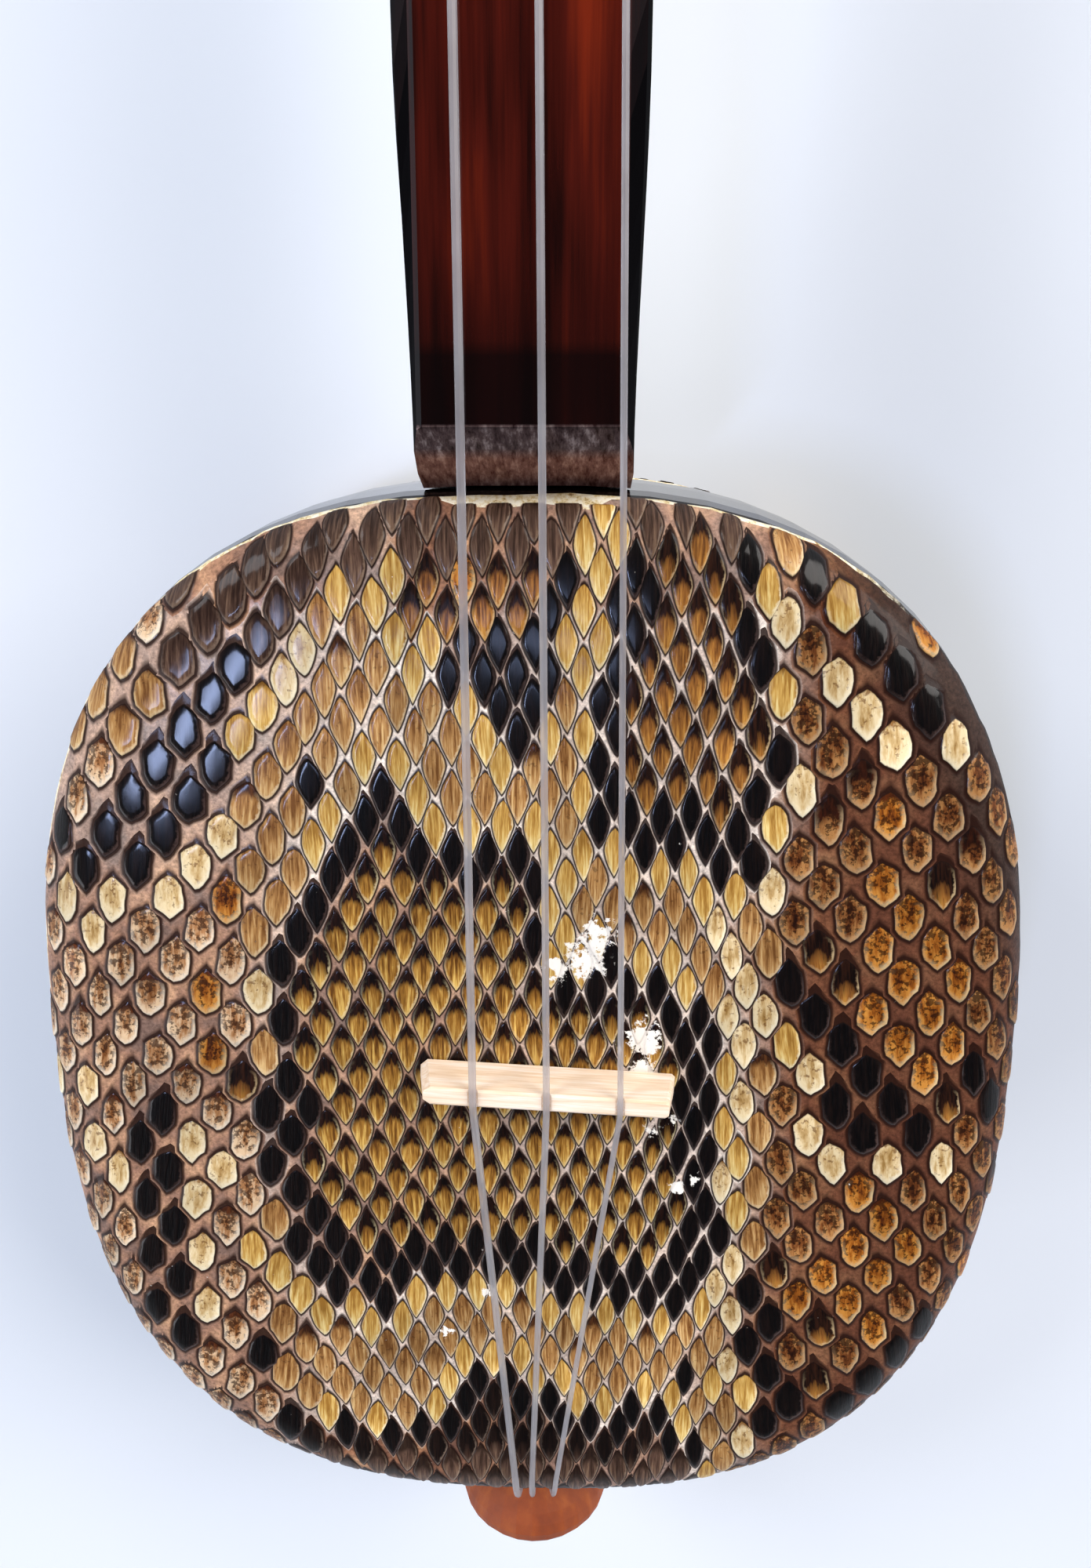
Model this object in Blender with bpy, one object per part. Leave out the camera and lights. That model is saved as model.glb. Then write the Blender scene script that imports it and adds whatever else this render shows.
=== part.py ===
"""A sanshin: a long-necked lute with three strings and a drum covered with snakeskin.

It lies on its back. +Y runs up the neck to the head, +X is to the right as the front is seen with
the head up, and +Z points out of the front skin. The origin is the middle of the drum's back.
All sizes are in metres; MM turns a size in millimetres into metres.
"""

import math

import bmesh
import bpy
from mathutils import Vector

MM = 0.001

# Clearance kept between pieces that touch
GAP = 0.3 * MM

# Drum: a hoop of four wooden walls under two skins
DRUM_WIDTH = 172.0 * MM
DRUM_LENGTH = 195.0 * MM
DRUM_SQUARENESS = 2.6
HOOP_DEPTH = 71.4 * MM
HOOP_WALL = 12.0 * MM
HOOP_BULGE = 2.0 * MM
RIM_RADIUS = 9.0 * MM
MITRE_GAP = 0.3 * MM
SKIN_THICKNESS = 1.0 * MM
FRONT_LAP_AT_NECK = 9.2 * MM
FRONT_LAP_AT_TAIL = 17.0 * MM
FRONT_LAP_POWER = 4
BACK_LAP = 14.0 * MM

# Neck, with the rod that runs through the drum
NECK_LENGTH = 477.0 * MM
NECK_WIDTH_AT_DRUM = 30.0 * MM
NECK_WIDTH_AT_NUT = 24.4 * MM
NECK_THICKNESS_AT_DRUM = 25.0 * MM
NECK_THICKNESS_AT_NUT = 19.0 * MM
NECK_EDGE_ROUND = 0.8 * MM
NECK_SQUARENESS = 2.2
FINGERBOARD_RISE = 8.0 * MM
FACET_FOOT = 0.5 * MM
FACET_LENGTH = 7.0 * MM
HEEL_DEPTH = 44.0 * MM
HEEL_LENGTH = 62.0 * MM
ROD_WIDTH = 16.0 * MM
ROD_HEIGHT = 20.0 * MM
ROD_BELOW_SKIN = 28.0 * MM

# How far the neck's rounded sides stand out past its front: at the drum, where most, and at the head
SWELL_AT_DRUM = 1.6 * MM
SWELL_MOST = 3.1 * MM
SWELL_RAMP = 60.0 * MM
SWELL_DEPTH_SHARE = 0.30
SWELL_AT_HEAD = 0.9 * MM

# Head: the end of the neck, bent back, with the slot of the peg box
HEAD_LENGTH = 104.0 * MM
HEAD_BEND_RADIUS = 150.0 * MM
HEAD_WIDTH = 29.0 * MM
HEAD_THICKNESS = 25.0 * MM
HEAD_SQUARENESS = 4.2
HEAD_FLARE_LENGTH = 16.6 * MM
CROWN_LENGTH = 22.9 * MM
CROWN_WIDTH = 30.0 * MM
CROWN_THICKNESS = 19.0 * MM
CROWN_DOME = 1.6 * MM
SLOT_WIDTH = 13.0 * MM
SLOT_START = 2.0 * MM
SLOT_LENGTH = 76.0 * MM
SLOT_MOUTH_WIDTH = 20.0 * MM
SLOT_MOUTH_LENGTH = 48.0 * MM
SLOT_MOUTH_DEPTH = 13.8 * MM
SLOT_MOUTH_LEAD = 0.5 * MM

# Nut
NUT_THICKNESS = 5.0 * MM
NUT_SEAT_DEPTH = 3.0 * MM
NUT_RISE = 2.0 * MM
NUT_CROWN = 0.8 * MM
NUT_NOTCH_DEPTH = 0.8 * MM

# Pegs: distance along the head from the nut, depth under the head's front, side of the grip
PEG_STATIONS = (21.0 * MM, 43.0 * MM, 65.0 * MM)
PEG_DEPTHS = (12.5 * MM, 12.5 * MM, 9.5 * MM)
PEG_SIDES = (-1, 1, -1)
PEG_TIP_RADIUS = 3.5 * MM
PEG_SHANK_RADIUS = 4.7 * MM
PEG_TIP_REACH = 4.0 * MM
PEG_SHANK_LENGTH = 40.0 * MM
PEG_GRIP_LENGTH = 56.0 * MM
PEG_GRIP_RADIUS = 10.0 * MM
PEG_FLUTES = 10
PEG_FLUTE_DEPTH = 1.5 * MM
PEG_COLLAR_RISE = 1.0 * MM
PEG_COLLAR_LENGTH = 2.8 * MM
PEG_EDGE = 0.6 * MM
PEG_POINTS_PER_FLUTE = 4
STRING_HOLE_CLEARANCE = 0.35 * MM

# Strings, from the thickest at the left to the thinnest at the right
STRING_DIAMETERS = (1.30 * MM, 1.15 * MM, 1.00 * MM)
WINDING_TURNS = (4, 4, 5)
WINDING_SPACE = 0.46 * MM
WINDING_BEND = 1.2
NUT_STRING_X = (-8.2 * MM, 0.3 * MM, 8.8 * MM)
BRIDGE_STRING_X = (-8.6 * MM, 3.6 * MM, 15.8 * MM)
RIM_STRING_X = (-2.6 * MM, 0.6 * MM, 5.2 * MM)
PEG_STRING_X = (-4.4 * MM, 1.6 * MM, 4.0 * MM)

# Bridge, standing askew and to the right of the middle
BRIDGE_FROM_TAIL = 95.3 * MM
BRIDGE_SHIFT = 3.5 * MM
BRIDGE_TURN = math.radians(-3.0)
BRIDGE_LENGTH = 43.8 * MM
BRIDGE_HEIGHT = 8.6 * MM
BRIDGE_FOOT = 4.2 * MM
BRIDGE_TOP = 3.2 * MM
BRIDGE_END_SLANT = 1.5 * MM
BRIDGE_END_CUT = 1.2 * MM
BRIDGE_EDGE = 0.4 * MM
BRIDGE_NOTCH_DEPTH = 0.7 * MM

# Tail knob, a turned button plugged into the rod's end
KNOB_LENGTH = 26.4 * MM
KNOB_RADIUS = 15.6 * MM
KNOB_FOOT_RADIUS = 11.6 * MM
KNOB_WAIST_RADIUS = 9.6 * MM
KNOB_WAIST_START = 1.6 * MM
KNOB_WAIST_LENGTH = 6.4 * MM
KNOB_DOME_LENGTH = 7.2 * MM
KNOB_EDGE = 0.8 * MM
KNOB_SHANK_RADIUS = 4.6 * MM
KNOB_SHANK_LENGTH = 22.0 * MM
KNOB_LOOP_BEND = 2.2 * MM
KNOB_LOOP_LEAD = 1.2 * MM
KNOB_LOOP_SHARE = 0.86

# How far cutters reach past what they cut, and joined parts into each other
CUT_REACH = 6.0 * MM
JOIN_REACH = 6.0 * MM
NECK_BLOCK_REACH = 8.0 * MM

# Number of points round each kind of outline
DRUM_POINTS = 64
RIM_STEPS = 4
TURNED_POINTS = 28
SMALL_TURNED_POINTS = 12
WINDING_POINTS = 24
LOOP_POINTS = 24

# Places that follow from the sizes above
HOOP_BACK_Z = SKIN_THICKNESS + GAP
HOOP_FRONT_Z = HOOP_BACK_Z + HOOP_DEPTH
SKIN_FRONT_Z = HOOP_FRONT_Z + GAP + SKIN_THICKNESS
FINGERBOARD_Z = SKIN_FRONT_Z + FINGERBOARD_RISE
NECK_START_Y = DRUM_LENGTH / 2
NUT_Y = NECK_START_Y + NECK_LENGTH
ROD_Z = SKIN_FRONT_Z - ROD_BELOW_SKIN
TAIL_Y = -DRUM_LENGTH / 2
BRIDGE_Y = TAIL_Y + BRIDGE_FROM_TAIL
BRIDGE_FOOT_Z = SKIN_FRONT_Z + GAP
PEG_TIP_X = HEAD_WIDTH / 2 + SWELL_AT_HEAD + PEG_TIP_REACH


def clear_scene():
    """Remove what the file already holds."""
    for old in list(bpy.data.objects):
        bpy.data.objects.remove(old, do_unlink=True)


def make_material(name, colour, roughness, metallic=0.0):
    """A plain Principled material."""
    material = bpy.data.materials.new(name)
    material.use_nodes = True
    shader = material.node_tree.nodes["Principled BSDF"]
    shader.inputs["Base Color"].default_value = (*colour, 1.0)
    shader.inputs["Roughness"].default_value = roughness
    shader.inputs["Metallic"].default_value = metallic
    material.diffuse_color = (*colour, 1.0)
    return material


def finish_mesh(name, bm, material, sharp_degrees=35.0):
    """Turn a bmesh into a linked object with smooth shading and sharp edges."""
    bmesh.ops.recalc_face_normals(bm, faces=bm.faces)
    mesh = bpy.data.meshes.new(name)
    bm.to_mesh(mesh)
    bm.free()
    mesh.materials.append(material)
    mesh.shade_smooth()
    mesh.set_sharp_from_angle(angle=math.radians(sharp_degrees))
    obj = bpy.data.objects.new(name, mesh)
    bpy.context.scene.collection.objects.link(obj)
    return obj


def add_rings(bm, rings, endless=False):
    """Join rings of points with quads; close both ends, or join the last ring to the first."""
    loops = [[bm.verts.new(point) for point in ring] for ring in rings]
    pairs = list(zip(loops, loops[1:]))
    if endless:
        pairs.append((loops[-1], loops[0]))
    count = len(rings[0])
    for low, high in pairs:
        for i in range(count):
            j = (i + 1) % count
            bm.faces.new((low[i], low[j], high[j], high[i]))
    if not endless:
        bm.faces.new(list(reversed(loops[0])))
        bm.faces.new(loops[-1])


def cut_off(bm, place, outward):
    """Cut away what lies past a plane and close the cut."""
    geometry = bm.verts[:] + bm.edges[:] + bm.faces[:]
    bmesh.ops.bisect_plane(bm, geom=geometry, plane_co=place, plane_no=outward, clear_outer=True)
    open_edges = [edge for edge in bm.edges if edge.is_boundary]
    bmesh.ops.holes_fill(bm, edges=open_edges, sides=0)


def as_cutter(obj):
    """Mark a solid as a tool for cuts, which is not itself a piece."""
    obj.hide_render = True
    obj.display_type = "WIRE"
    return obj


def add_boolean(target, tool, operation="DIFFERENCE"):
    """Cut target with tool, or join them."""
    modifier = target.modifiers.new(operation.lower() + "_" + tool.name, "BOOLEAN")
    modifier.operation = operation
    modifier.solver = "EXACT"
    modifier.object = tool


def box_tool(name, low, high):
    """A box between two corners, used for cuts and joins."""
    bm = bmesh.new()
    bmesh.ops.create_cube(bm, size=1.0)
    low = Vector(low)
    high = Vector(high)
    for vert in bm.verts:
        vert.co = Vector((low[k] + (vert.co[k] + 0.5) * (high[k] - low[k]) for k in range(3)))
    mesh = bpy.data.meshes.new(name)
    bm.to_mesh(mesh)
    bm.free()
    obj = bpy.data.objects.new(name, mesh)
    bpy.context.scene.collection.objects.link(obj)
    return as_cutter(obj)


def turned_rings(profile, to_point, count=TURNED_POINTS):
    """Rings of a turned shape; profile lists (distance along the axis, radius)."""
    rings = []
    for along, radius in profile:
        ring = []
        for i in range(count):
            angle = 2 * math.pi * i / count
            ring.append(to_point(along, radius * math.cos(angle), radius * math.sin(angle)))
        rings.append(ring)
    return rings


# The drum's outline and rim

def drum_point(index, inset, z):
    """Point of the drum's rounded-square outline, drawn in by inset, at height z."""
    angle = 2 * math.pi * (index + 0.5) / DRUM_POINTS
    c = math.cos(angle)
    s = math.sin(angle)
    power = 2.0 / DRUM_SQUARENESS
    x = math.copysign(abs(c) ** power, c) * (DRUM_WIDTH / 2 - inset)
    y = math.copysign(abs(s) ** power, s) * (DRUM_LENGTH / 2 - inset)
    return Vector((x, y, z))


def wall_inset(depth):
    """How far the barrel-shaped wall lies inside its widest line, at a depth under the rim."""
    return HOOP_BULGE * (1.0 - 2.0 * depth / HOOP_DEPTH) ** 2


def rim_point(run, lift):
    """Inset and depth on the rim at arc length run from its flat land, lifted off the wood."""
    quarter = RIM_RADIUS * math.pi / 2
    start = wall_inset(RIM_RADIUS)
    if run <= quarter:
        angle = run / RIM_RADIUS
        inset = start + RIM_RADIUS * (1 - math.sin(angle)) - lift * math.sin(angle)
        depth = RIM_RADIUS * (1 - math.cos(angle)) - lift * math.cos(angle)
        return inset, depth
    depth = RIM_RADIUS + run - quarter
    return wall_inset(depth) - lift, depth


def make_hoop(material):
    """Four wooden walls: one ring, parted at the corners by mitre planes."""
    quarter = RIM_RADIUS * math.pi / 2
    rim_runs = [quarter * k / RIM_STEPS for k in range(RIM_STEPS + 1)]
    outer = [rim_point(run, 0.0) for run in rim_runs]
    middle = HOOP_DEPTH / 2
    outer.append((wall_inset((RIM_RADIUS + middle) / 2), (RIM_RADIUS + middle) / 2))
    profile = [(inset, HOOP_FRONT_Z - depth) for inset, depth in outer]
    profile.append((0.0, HOOP_FRONT_Z - middle))
    profile += [(inset, HOOP_BACK_Z + depth) for inset, depth in reversed(outer)]
    profile += [(HOOP_WALL, HOOP_BACK_Z), (HOOP_WALL, HOOP_FRONT_Z)]

    corner = Vector((DRUM_WIDTH, DRUM_LENGTH, 0.0)).normalized()
    sides = {
        "hoop_neck_wall": Vector((0, 1, 0)),
        "hoop_tail_wall": Vector((0, -1, 0)),
        "hoop_left_wall": Vector((-1, 0, 0)),
        "hoop_right_wall": Vector((1, 0, 0)),
    }
    walls = {}
    for name, outward in sides.items():
        bm = bmesh.new()
        rings = [[drum_point(i, inset, z) for i in range(DRUM_POINTS)] for inset, z in profile]
        add_rings(bm, rings, endless=True)
        for turn in (1, -1):
            plane = Vector((corner.y, -corner.x * turn, 0.0))
            if plane.dot(outward) > 0:
                plane = -plane
            cut_off(bm, -plane * (MITRE_GAP / 2), plane)
        walls[name] = finish_mesh(name, bm, material, 30.0)
    return walls


def cut_mortises(walls):
    """Square holes for the rod in the walls at the neck and at the tail."""
    half_width = ROD_WIDTH / 2 + GAP
    half_height = ROD_HEIGHT / 2 + GAP
    reach = HOOP_WALL * 2
    for name, side in (("hoop_neck_wall", 1), ("hoop_tail_wall", -1)):
        edge = side * DRUM_LENGTH / 2
        tool = box_tool(
            "cutter_" + name,
            (-half_width, edge - reach, ROD_Z - half_height),
            (half_width, edge + reach, ROD_Z + half_height),
        )
        add_boolean(walls[name], tool)


def make_skin(name, material, front):
    """A skin: a flat sheet that turns over the rim and laps down the wall, thinner than the rim."""
    turns = RIM_STEPS + 1

    def lap_at(index):
        if not front:
            return BACK_LAP
        share = 0.5 - drum_point(index, 0.0, 0.0).y / DRUM_LENGTH
        return FRONT_LAP_AT_NECK + (FRONT_LAP_AT_TAIL - FRONT_LAP_AT_NECK) * share ** FRONT_LAP_POWER

    def ring(step, lift):
        points = []
        for i in range(DRUM_POINTS):
            inset, depth = rim_point(lap_at(i) * step / turns, lift)
            z = HOOP_FRONT_Z - depth if front else HOOP_BACK_Z + depth
            points.append(drum_point(i, inset, z))
        return points

    outer = [ring(step, GAP + SKIN_THICKNESS) for step in range(turns + 1)]
    inner = [ring(step, GAP) for step in range(turns, -1, -1)]
    bm = bmesh.new()
    add_rings(bm, outer + inner)
    return finish_mesh(name, bm, material, 50.0)


def drum_envelope_tool():
    """The space that the drum takes from the neck: wood and skin edge, with their clearance."""
    quarter = RIM_RADIUS * math.pi / 2
    skin_end = FRONT_LAP_AT_NECK + GAP
    profile = [rim_point(skin_end * k / RIM_STEPS, SKIN_THICKNESS + 2 * GAP) for k in range(RIM_STEPS + 1)]
    wood_start = skin_end + GAP / 3
    wood_runs = [wood_start + (quarter - wood_start) * k / RIM_STEPS for k in range(RIM_STEPS + 1)]
    wood_runs += [quarter + HOOP_DEPTH * share for share in (0.02, 0.2, 0.38, 0.6, 0.72)]
    profile += [rim_point(run, GAP) for run in wood_runs]
    bm = bmesh.new()
    rings = [
        [drum_point(i, inset, HOOP_FRONT_Z - depth) for i in range(DRUM_POINTS)]
        for inset, depth in profile
    ]
    add_rings(bm, rings)
    obj = finish_mesh("cutter_drum_envelope", bm, bpy.data.materials["black_lacquer"])
    return as_cutter(obj)


# The neck, the head and the rod

def head_frame(run, depth=0.0):
    """Point and forward direction on the head's front, run past the nut and depth under it."""
    if run <= 0:
        return Vector((0, NUT_Y + run, FINGERBOARD_Z - depth)), Vector((0, 1, 0))
    angle = run / HEAD_BEND_RADIUS
    radius = HEAD_BEND_RADIUS - depth
    y = NUT_Y + radius * math.sin(angle)
    z = FINGERBOARD_Z - HEAD_BEND_RADIUS + radius * math.cos(angle)
    return Vector((0, y, z)), Vector((0, math.cos(angle), -math.sin(angle)))


def smooth_step(value):
    """A soft ramp from 0 to 1."""
    value = min(1.0, max(0.0, value))
    return value * value * (3 - 2 * value)


def neck_size(run):
    """Half width, thickness and squareness of the neck at run past the nut."""
    if run <= 0:
        share = -run / NECK_LENGTH
        half = (NECK_WIDTH_AT_NUT + (NECK_WIDTH_AT_DRUM - NECK_WIDTH_AT_NUT) * share) / 2
        thick = NECK_THICKNESS_AT_NUT + (NECK_THICKNESS_AT_DRUM - NECK_THICKNESS_AT_NUT) * share
        to_drum = (NECK_LENGTH + run) / HEEL_LENGTH
        if to_drum < 1:
            thick += (HEEL_DEPTH - NECK_THICKNESS_AT_DRUM) * (1 - smooth_step(to_drum))
        return half, thick, NECK_SQUARENESS
    flare = smooth_step(run / HEAD_FLARE_LENGTH)
    crown = smooth_step((run - HEAD_LENGTH + CROWN_LENGTH) / CROWN_LENGTH)
    width = NECK_WIDTH_AT_NUT + (HEAD_WIDTH - NECK_WIDTH_AT_NUT) * flare
    width += (CROWN_WIDTH - HEAD_WIDTH) * crown
    thick = NECK_THICKNESS_AT_NUT + (HEAD_THICKNESS - NECK_THICKNESS_AT_NUT) * flare
    thick += (CROWN_THICKNESS - HEAD_THICKNESS) * crown
    return width / 2, thick, NECK_SQUARENESS + (HEAD_SQUARENESS - NECK_SQUARENESS) * flare


def side_swell(run):
    """How far the rounded sides stand out past the front's edges."""
    from_drum = NECK_LENGTH + run
    rise = (SWELL_MOST - SWELL_AT_DRUM) * smooth_step(from_drum / SWELL_RAMP)
    fall = (SWELL_MOST - SWELL_AT_HEAD) * smooth_step((from_drum - SWELL_RAMP) / (NECK_LENGTH - SWELL_RAMP))
    return SWELL_AT_DRUM + rise - fall


def neck_section(run, shrink=0.0, advance=0.0):
    """One closed section of the neck: flat front, swelling sides, rounded back."""
    half, thick, squareness = neck_size(run)
    half -= shrink
    swell = side_swell(run)
    widest = SWELL_DEPTH_SHARE * thick
    right = [(half - NECK_EDGE_ROUND, 0.0), (half, NECK_EDGE_ROUND)]
    right.append((half + swell * 0.75, widest * 0.5))
    for k in range(7):
        angle = math.pi / 2 * k / 6.5
        x = (half + swell) * math.cos(angle) ** (2 / squareness)
        depth = widest + (thick - widest) * math.sin(angle) ** (2 / squareness)
        right.append((x, depth))
    outline = right + [(-x, depth) for x, depth in reversed(right)]
    points = []
    for x, depth in outline:
        depth = shrink + depth * (1 - 2 * shrink / thick)
        point, forward = head_frame(run, depth)
        points.append(Vector((x, 0, 0)) + point + forward * advance)
    return points


def make_neck(material):
    """Neck, head and rod in one piece of wood."""
    heel_steps = 9
    heel_run = NECK_BLOCK_REACH + HEEL_LENGTH
    heel_runs = [heel_run * k / heel_steps - NECK_BLOCK_REACH for k in range(heel_steps + 1)]
    neck_runs = heel_runs + [NECK_LENGTH * share for share in (0.22, 0.36, 0.52, 0.7, 0.85, 0.95)]
    head_steps = 14
    rings = [neck_section(run - NECK_LENGTH) for run in neck_runs]
    rings += [neck_section(HEAD_LENGTH * k / head_steps) for k in range(head_steps + 1)]
    rings.append(neck_section(HEAD_LENGTH, CROWN_DOME, CROWN_DOME))
    bm = bmesh.new()
    add_rings(bm, rings)

    foot_z = SKIN_FRONT_Z - rim_point(FRONT_LAP_AT_NECK, 0.0)[1] - SKIN_THICKNESS - 2 * GAP
    foot = Vector((0, NECK_START_Y + FACET_FOOT, foot_z))
    cut_off(bm, foot, Vector((0, foot_z - FINGERBOARD_Z, FACET_LENGTH)).normalized())
    neck = finish_mesh("neck", bm, material, 38.0)

    add_boolean(neck, drum_envelope_tool())
    rod = box_tool(
        "joiner_rod",
        (-ROD_WIDTH / 2, TAIL_Y, ROD_Z - ROD_HEIGHT / 2),
        (ROD_WIDTH / 2, NECK_START_Y + JOIN_REACH, ROD_Z + ROD_HEIGHT / 2),
    )
    add_boolean(neck, rod, "UNION")
    add_boolean(neck, knob_socket_tool())
    add_boolean(neck, slot_tool())
    add_boolean(neck, slot_mouth_tool())
    for index in range(3):
        add_boolean(neck, peg_hole_tool(index))
    seat = box_tool(
        "cutter_nut_seat",
        (-HEAD_WIDTH, NUT_Y - NUT_THICKNESS - 2 * GAP, FINGERBOARD_Z - NUT_SEAT_DEPTH),
        (HEAD_WIDTH, NUT_Y, FINGERBOARD_Z + NUT_SEAT_DEPTH),
    )
    add_boolean(neck, seat)
    return neck


def slot_tool():
    """The slot of the peg box, cut right through the head along its bend."""
    bm = bmesh.new()
    rings = []
    steps = 8
    for k in range(steps + 1):
        run = SLOT_START + SLOT_LENGTH * k / steps
        front, _ = head_frame(run, -CUT_REACH)
        back, _ = head_frame(run, HEAD_THICKNESS + CUT_REACH)
        half = Vector((SLOT_WIDTH / 2, 0, 0))
        rings.append([front - half, front + half, back + half, back - half])
    add_rings(bm, rings)
    return as_cutter(finish_mesh("cutter_slot", bm, bpy.data.materials["black_lacquer"]))


def slot_mouth_tool():
    """A wider mouth by the nut, so that the outer strings dip into the slot."""
    bm = bmesh.new()
    rings = []
    steps = 4
    narrow = SLOT_WIDTH - SLOT_MOUTH_LEAD
    for k in range(steps + 1):
        run = SLOT_START - SLOT_MOUTH_LEAD + (SLOT_MOUTH_LENGTH + SLOT_MOUTH_LEAD) * k / steps
        front, _ = head_frame(run, -CUT_REACH)
        back, _ = head_frame(run, SLOT_MOUTH_DEPTH)
        half = Vector(((SLOT_MOUTH_WIDTH + (narrow - SLOT_MOUTH_WIDTH) * k / steps) / 2, 0, 0))
        rings.append([front - half, front + half, back + half, back - half])
    add_rings(bm, rings)
    return as_cutter(finish_mesh("cutter_slot_mouth", bm, bpy.data.materials["black_lacquer"]))


def make_nut(material):
    """Nut: a small bar across the fingerboard's end, with a notch for each string."""
    seat_z = FINGERBOARD_Z - NUT_SEAT_DEPTH + GAP
    top_z = FINGERBOARD_Z + NUT_RISE
    half = NECK_WIDTH_AT_NUT / 2
    y_low = NUT_Y - NUT_THICKNESS - GAP
    y_high = NUT_Y - GAP
    side = [
        (y_low, seat_z),
        (y_high, seat_z),
        (y_high, top_z - NUT_CROWN),
        (y_high - NUT_CROWN, top_z),
        (y_low + NUT_CROWN * 2, top_z - NUT_CROWN * 0.3),
        (y_low, top_z - NUT_CROWN * 2),
    ]
    bm = bmesh.new()
    add_rings(bm, [[Vector((x, y, z)) for y, z in side] for x in (-half, half)])
    nut = finish_mesh("nut", bm, material)
    for index, x in enumerate(NUT_STRING_X):
        notch = Vector((x, NUT_Y - NUT_THICKNESS / 2, nut_string_z(index)))
        add_boolean(nut, notch_tool("cutter_nut_notch_%d" % index, notch, STRING_DIAMETERS[index] / 2 + GAP))
    return nut


def notch_tool(name, place, radius):
    """A short round bar along the neck, which cuts a string's notch."""
    bm = bmesh.new()
    profile = [(-CUT_REACH, radius), (CUT_REACH, radius)]
    add_rings(bm, turned_rings(profile, lambda t, u, v: place + Vector((u, t, v)), SMALL_TURNED_POINTS))
    return as_cutter(finish_mesh(name, bm, bpy.data.materials["black_lacquer"]))


# The pegs and what winds on them

def peg_centre(index):
    """Middle of the peg box on the axis of a peg."""
    return head_frame(PEG_STATIONS[index], PEG_DEPTHS[index])[0]


def shank_radius(index, x):
    """Radius of a peg's tapered shank at a place across the head."""
    share = (x * PEG_SIDES[index] + PEG_TIP_X) / PEG_SHANK_LENGTH
    return PEG_TIP_RADIUS + (PEG_SHANK_RADIUS - PEG_TIP_RADIUS) * share


def peg_hole_tool(index):
    """The tapered hole of one peg through both cheeks of the peg box."""
    centre = peg_centre(index)
    reach = HEAD_WIDTH
    profile = [(x, shank_radius(index, x) + GAP) for x in (-reach, reach)]
    bm = bmesh.new()
    add_rings(bm, turned_rings(profile, lambda t, u, v: centre + Vector((t, u, v))))
    return as_cutter(finish_mesh("cutter_peg_hole_%d" % (index + 1), bm, bpy.data.materials["black_lacquer"]))


def make_peg(index, material):
    """A peg: tapered shank, small collar and a fluted grip, with its origin on its axis."""
    side = PEG_SIDES[index]
    shank = PEG_SHANK_LENGTH
    grip = PEG_GRIP_LENGTH
    wide = PEG_GRIP_RADIUS
    waist = PEG_SHANK_RADIUS
    collar = waist + PEG_COLLAR_RISE
    # Distance from the tip, radius and share of the flutes' depth
    profile = [
        (0.0, PEG_TIP_RADIUS - PEG_EDGE, 0.0),
        (PEG_EDGE, PEG_TIP_RADIUS, 0.0),
        (shank, waist, 0.0),
        (shank + PEG_EDGE, collar, 0.0),
        (shank + PEG_COLLAR_LENGTH - PEG_EDGE, collar, 0.0),
        (shank + PEG_COLLAR_LENGTH, waist, 0.0),
        (shank + 0.12 * grip, waist + 0.05 * (wide - waist), 0.0),
        (shank + 0.22 * grip, waist + 0.20 * (wide - waist), 0.45),
        (shank + 0.40 * grip, waist + 0.58 * (wide - waist), 0.85),
        (shank + 0.62 * grip, waist + 0.88 * (wide - waist), 1.0),
        (shank + 0.80 * grip, wide, 1.0),
        (shank + 0.92 * grip, wide * 0.94, 0.9),
        (shank + 0.98 * grip, wide * 0.72, 0.5),
        (shank + grip, wide * 0.40, 0.1),
    ]
    count = PEG_FLUTES * PEG_POINTS_PER_FLUTE
    rings = []
    for along, radius, flute in profile:
        ring = []
        for i in range(count):
            angle = 2 * math.pi * i / count
            groove = 0.5 + 0.5 * math.cos(PEG_FLUTES * angle)
            reach = radius - flute * PEG_FLUTE_DEPTH * groove
            place = side * (along - PEG_TIP_X)
            ring.append(Vector((place, reach * math.cos(angle), reach * math.sin(angle))))
        rings.append(ring)
    bm = bmesh.new()
    add_rings(bm, rings)
    peg = finish_mesh("peg_%d" % (index + 1), bm, material, 40.0)
    peg.location = peg_centre(index)

    hole_x, hole_angle = winding_anchor(index)
    out = Vector((0, math.cos(hole_angle), math.sin(hole_angle)))
    radius = STRING_DIAMETERS[index] / 2 + STRING_HOLE_CLEARANCE
    across = Vector((1, 0, 0))
    third = out.cross(across)
    reach = PEG_SHANK_RADIUS * 2
    bm = bmesh.new()
    rings = turned_rings(
        [(-reach, radius), (reach, radius)],
        lambda t, u, v: peg.location + Vector((hole_x, 0, 0)) + out * t + across * u + third * v,
        SMALL_TURNED_POINTS,
    )
    add_rings(bm, rings)
    hole = as_cutter(finish_mesh("cutter_string_hole_%d" % (index + 1), bm, material))
    add_boolean(peg, hole)
    return peg


def winding_radius(index):
    """Radius of the middle of the wound string about its peg."""
    widest = max(shank_radius(index, x) for x in (-SLOT_WIDTH / 2, SLOT_WIDTH / 2))
    return widest + GAP + STRING_DIAMETERS[index] / 2


def leave_angle(index):
    """Angle about the peg at which the string leaves the winding towards the nut."""
    centre = peg_centre(index)
    nut = Vector((0, NUT_Y - NUT_THICKNESS / 2, nut_string_z(index)))
    away = nut - centre
    direction = math.atan2(away.z, away.y)
    return direction - math.acos(winding_radius(index) / math.hypot(away.y, away.z))


def winding_pitch(index):
    """Step of the winding from one turn to the next."""
    return STRING_DIAMETERS[index] + WINDING_SPACE


def winding_way(index):
    """Side to which the winding runs from the place where the string leaves it."""
    return 1 if PEG_STRING_X[index] < 0 else -1


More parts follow.
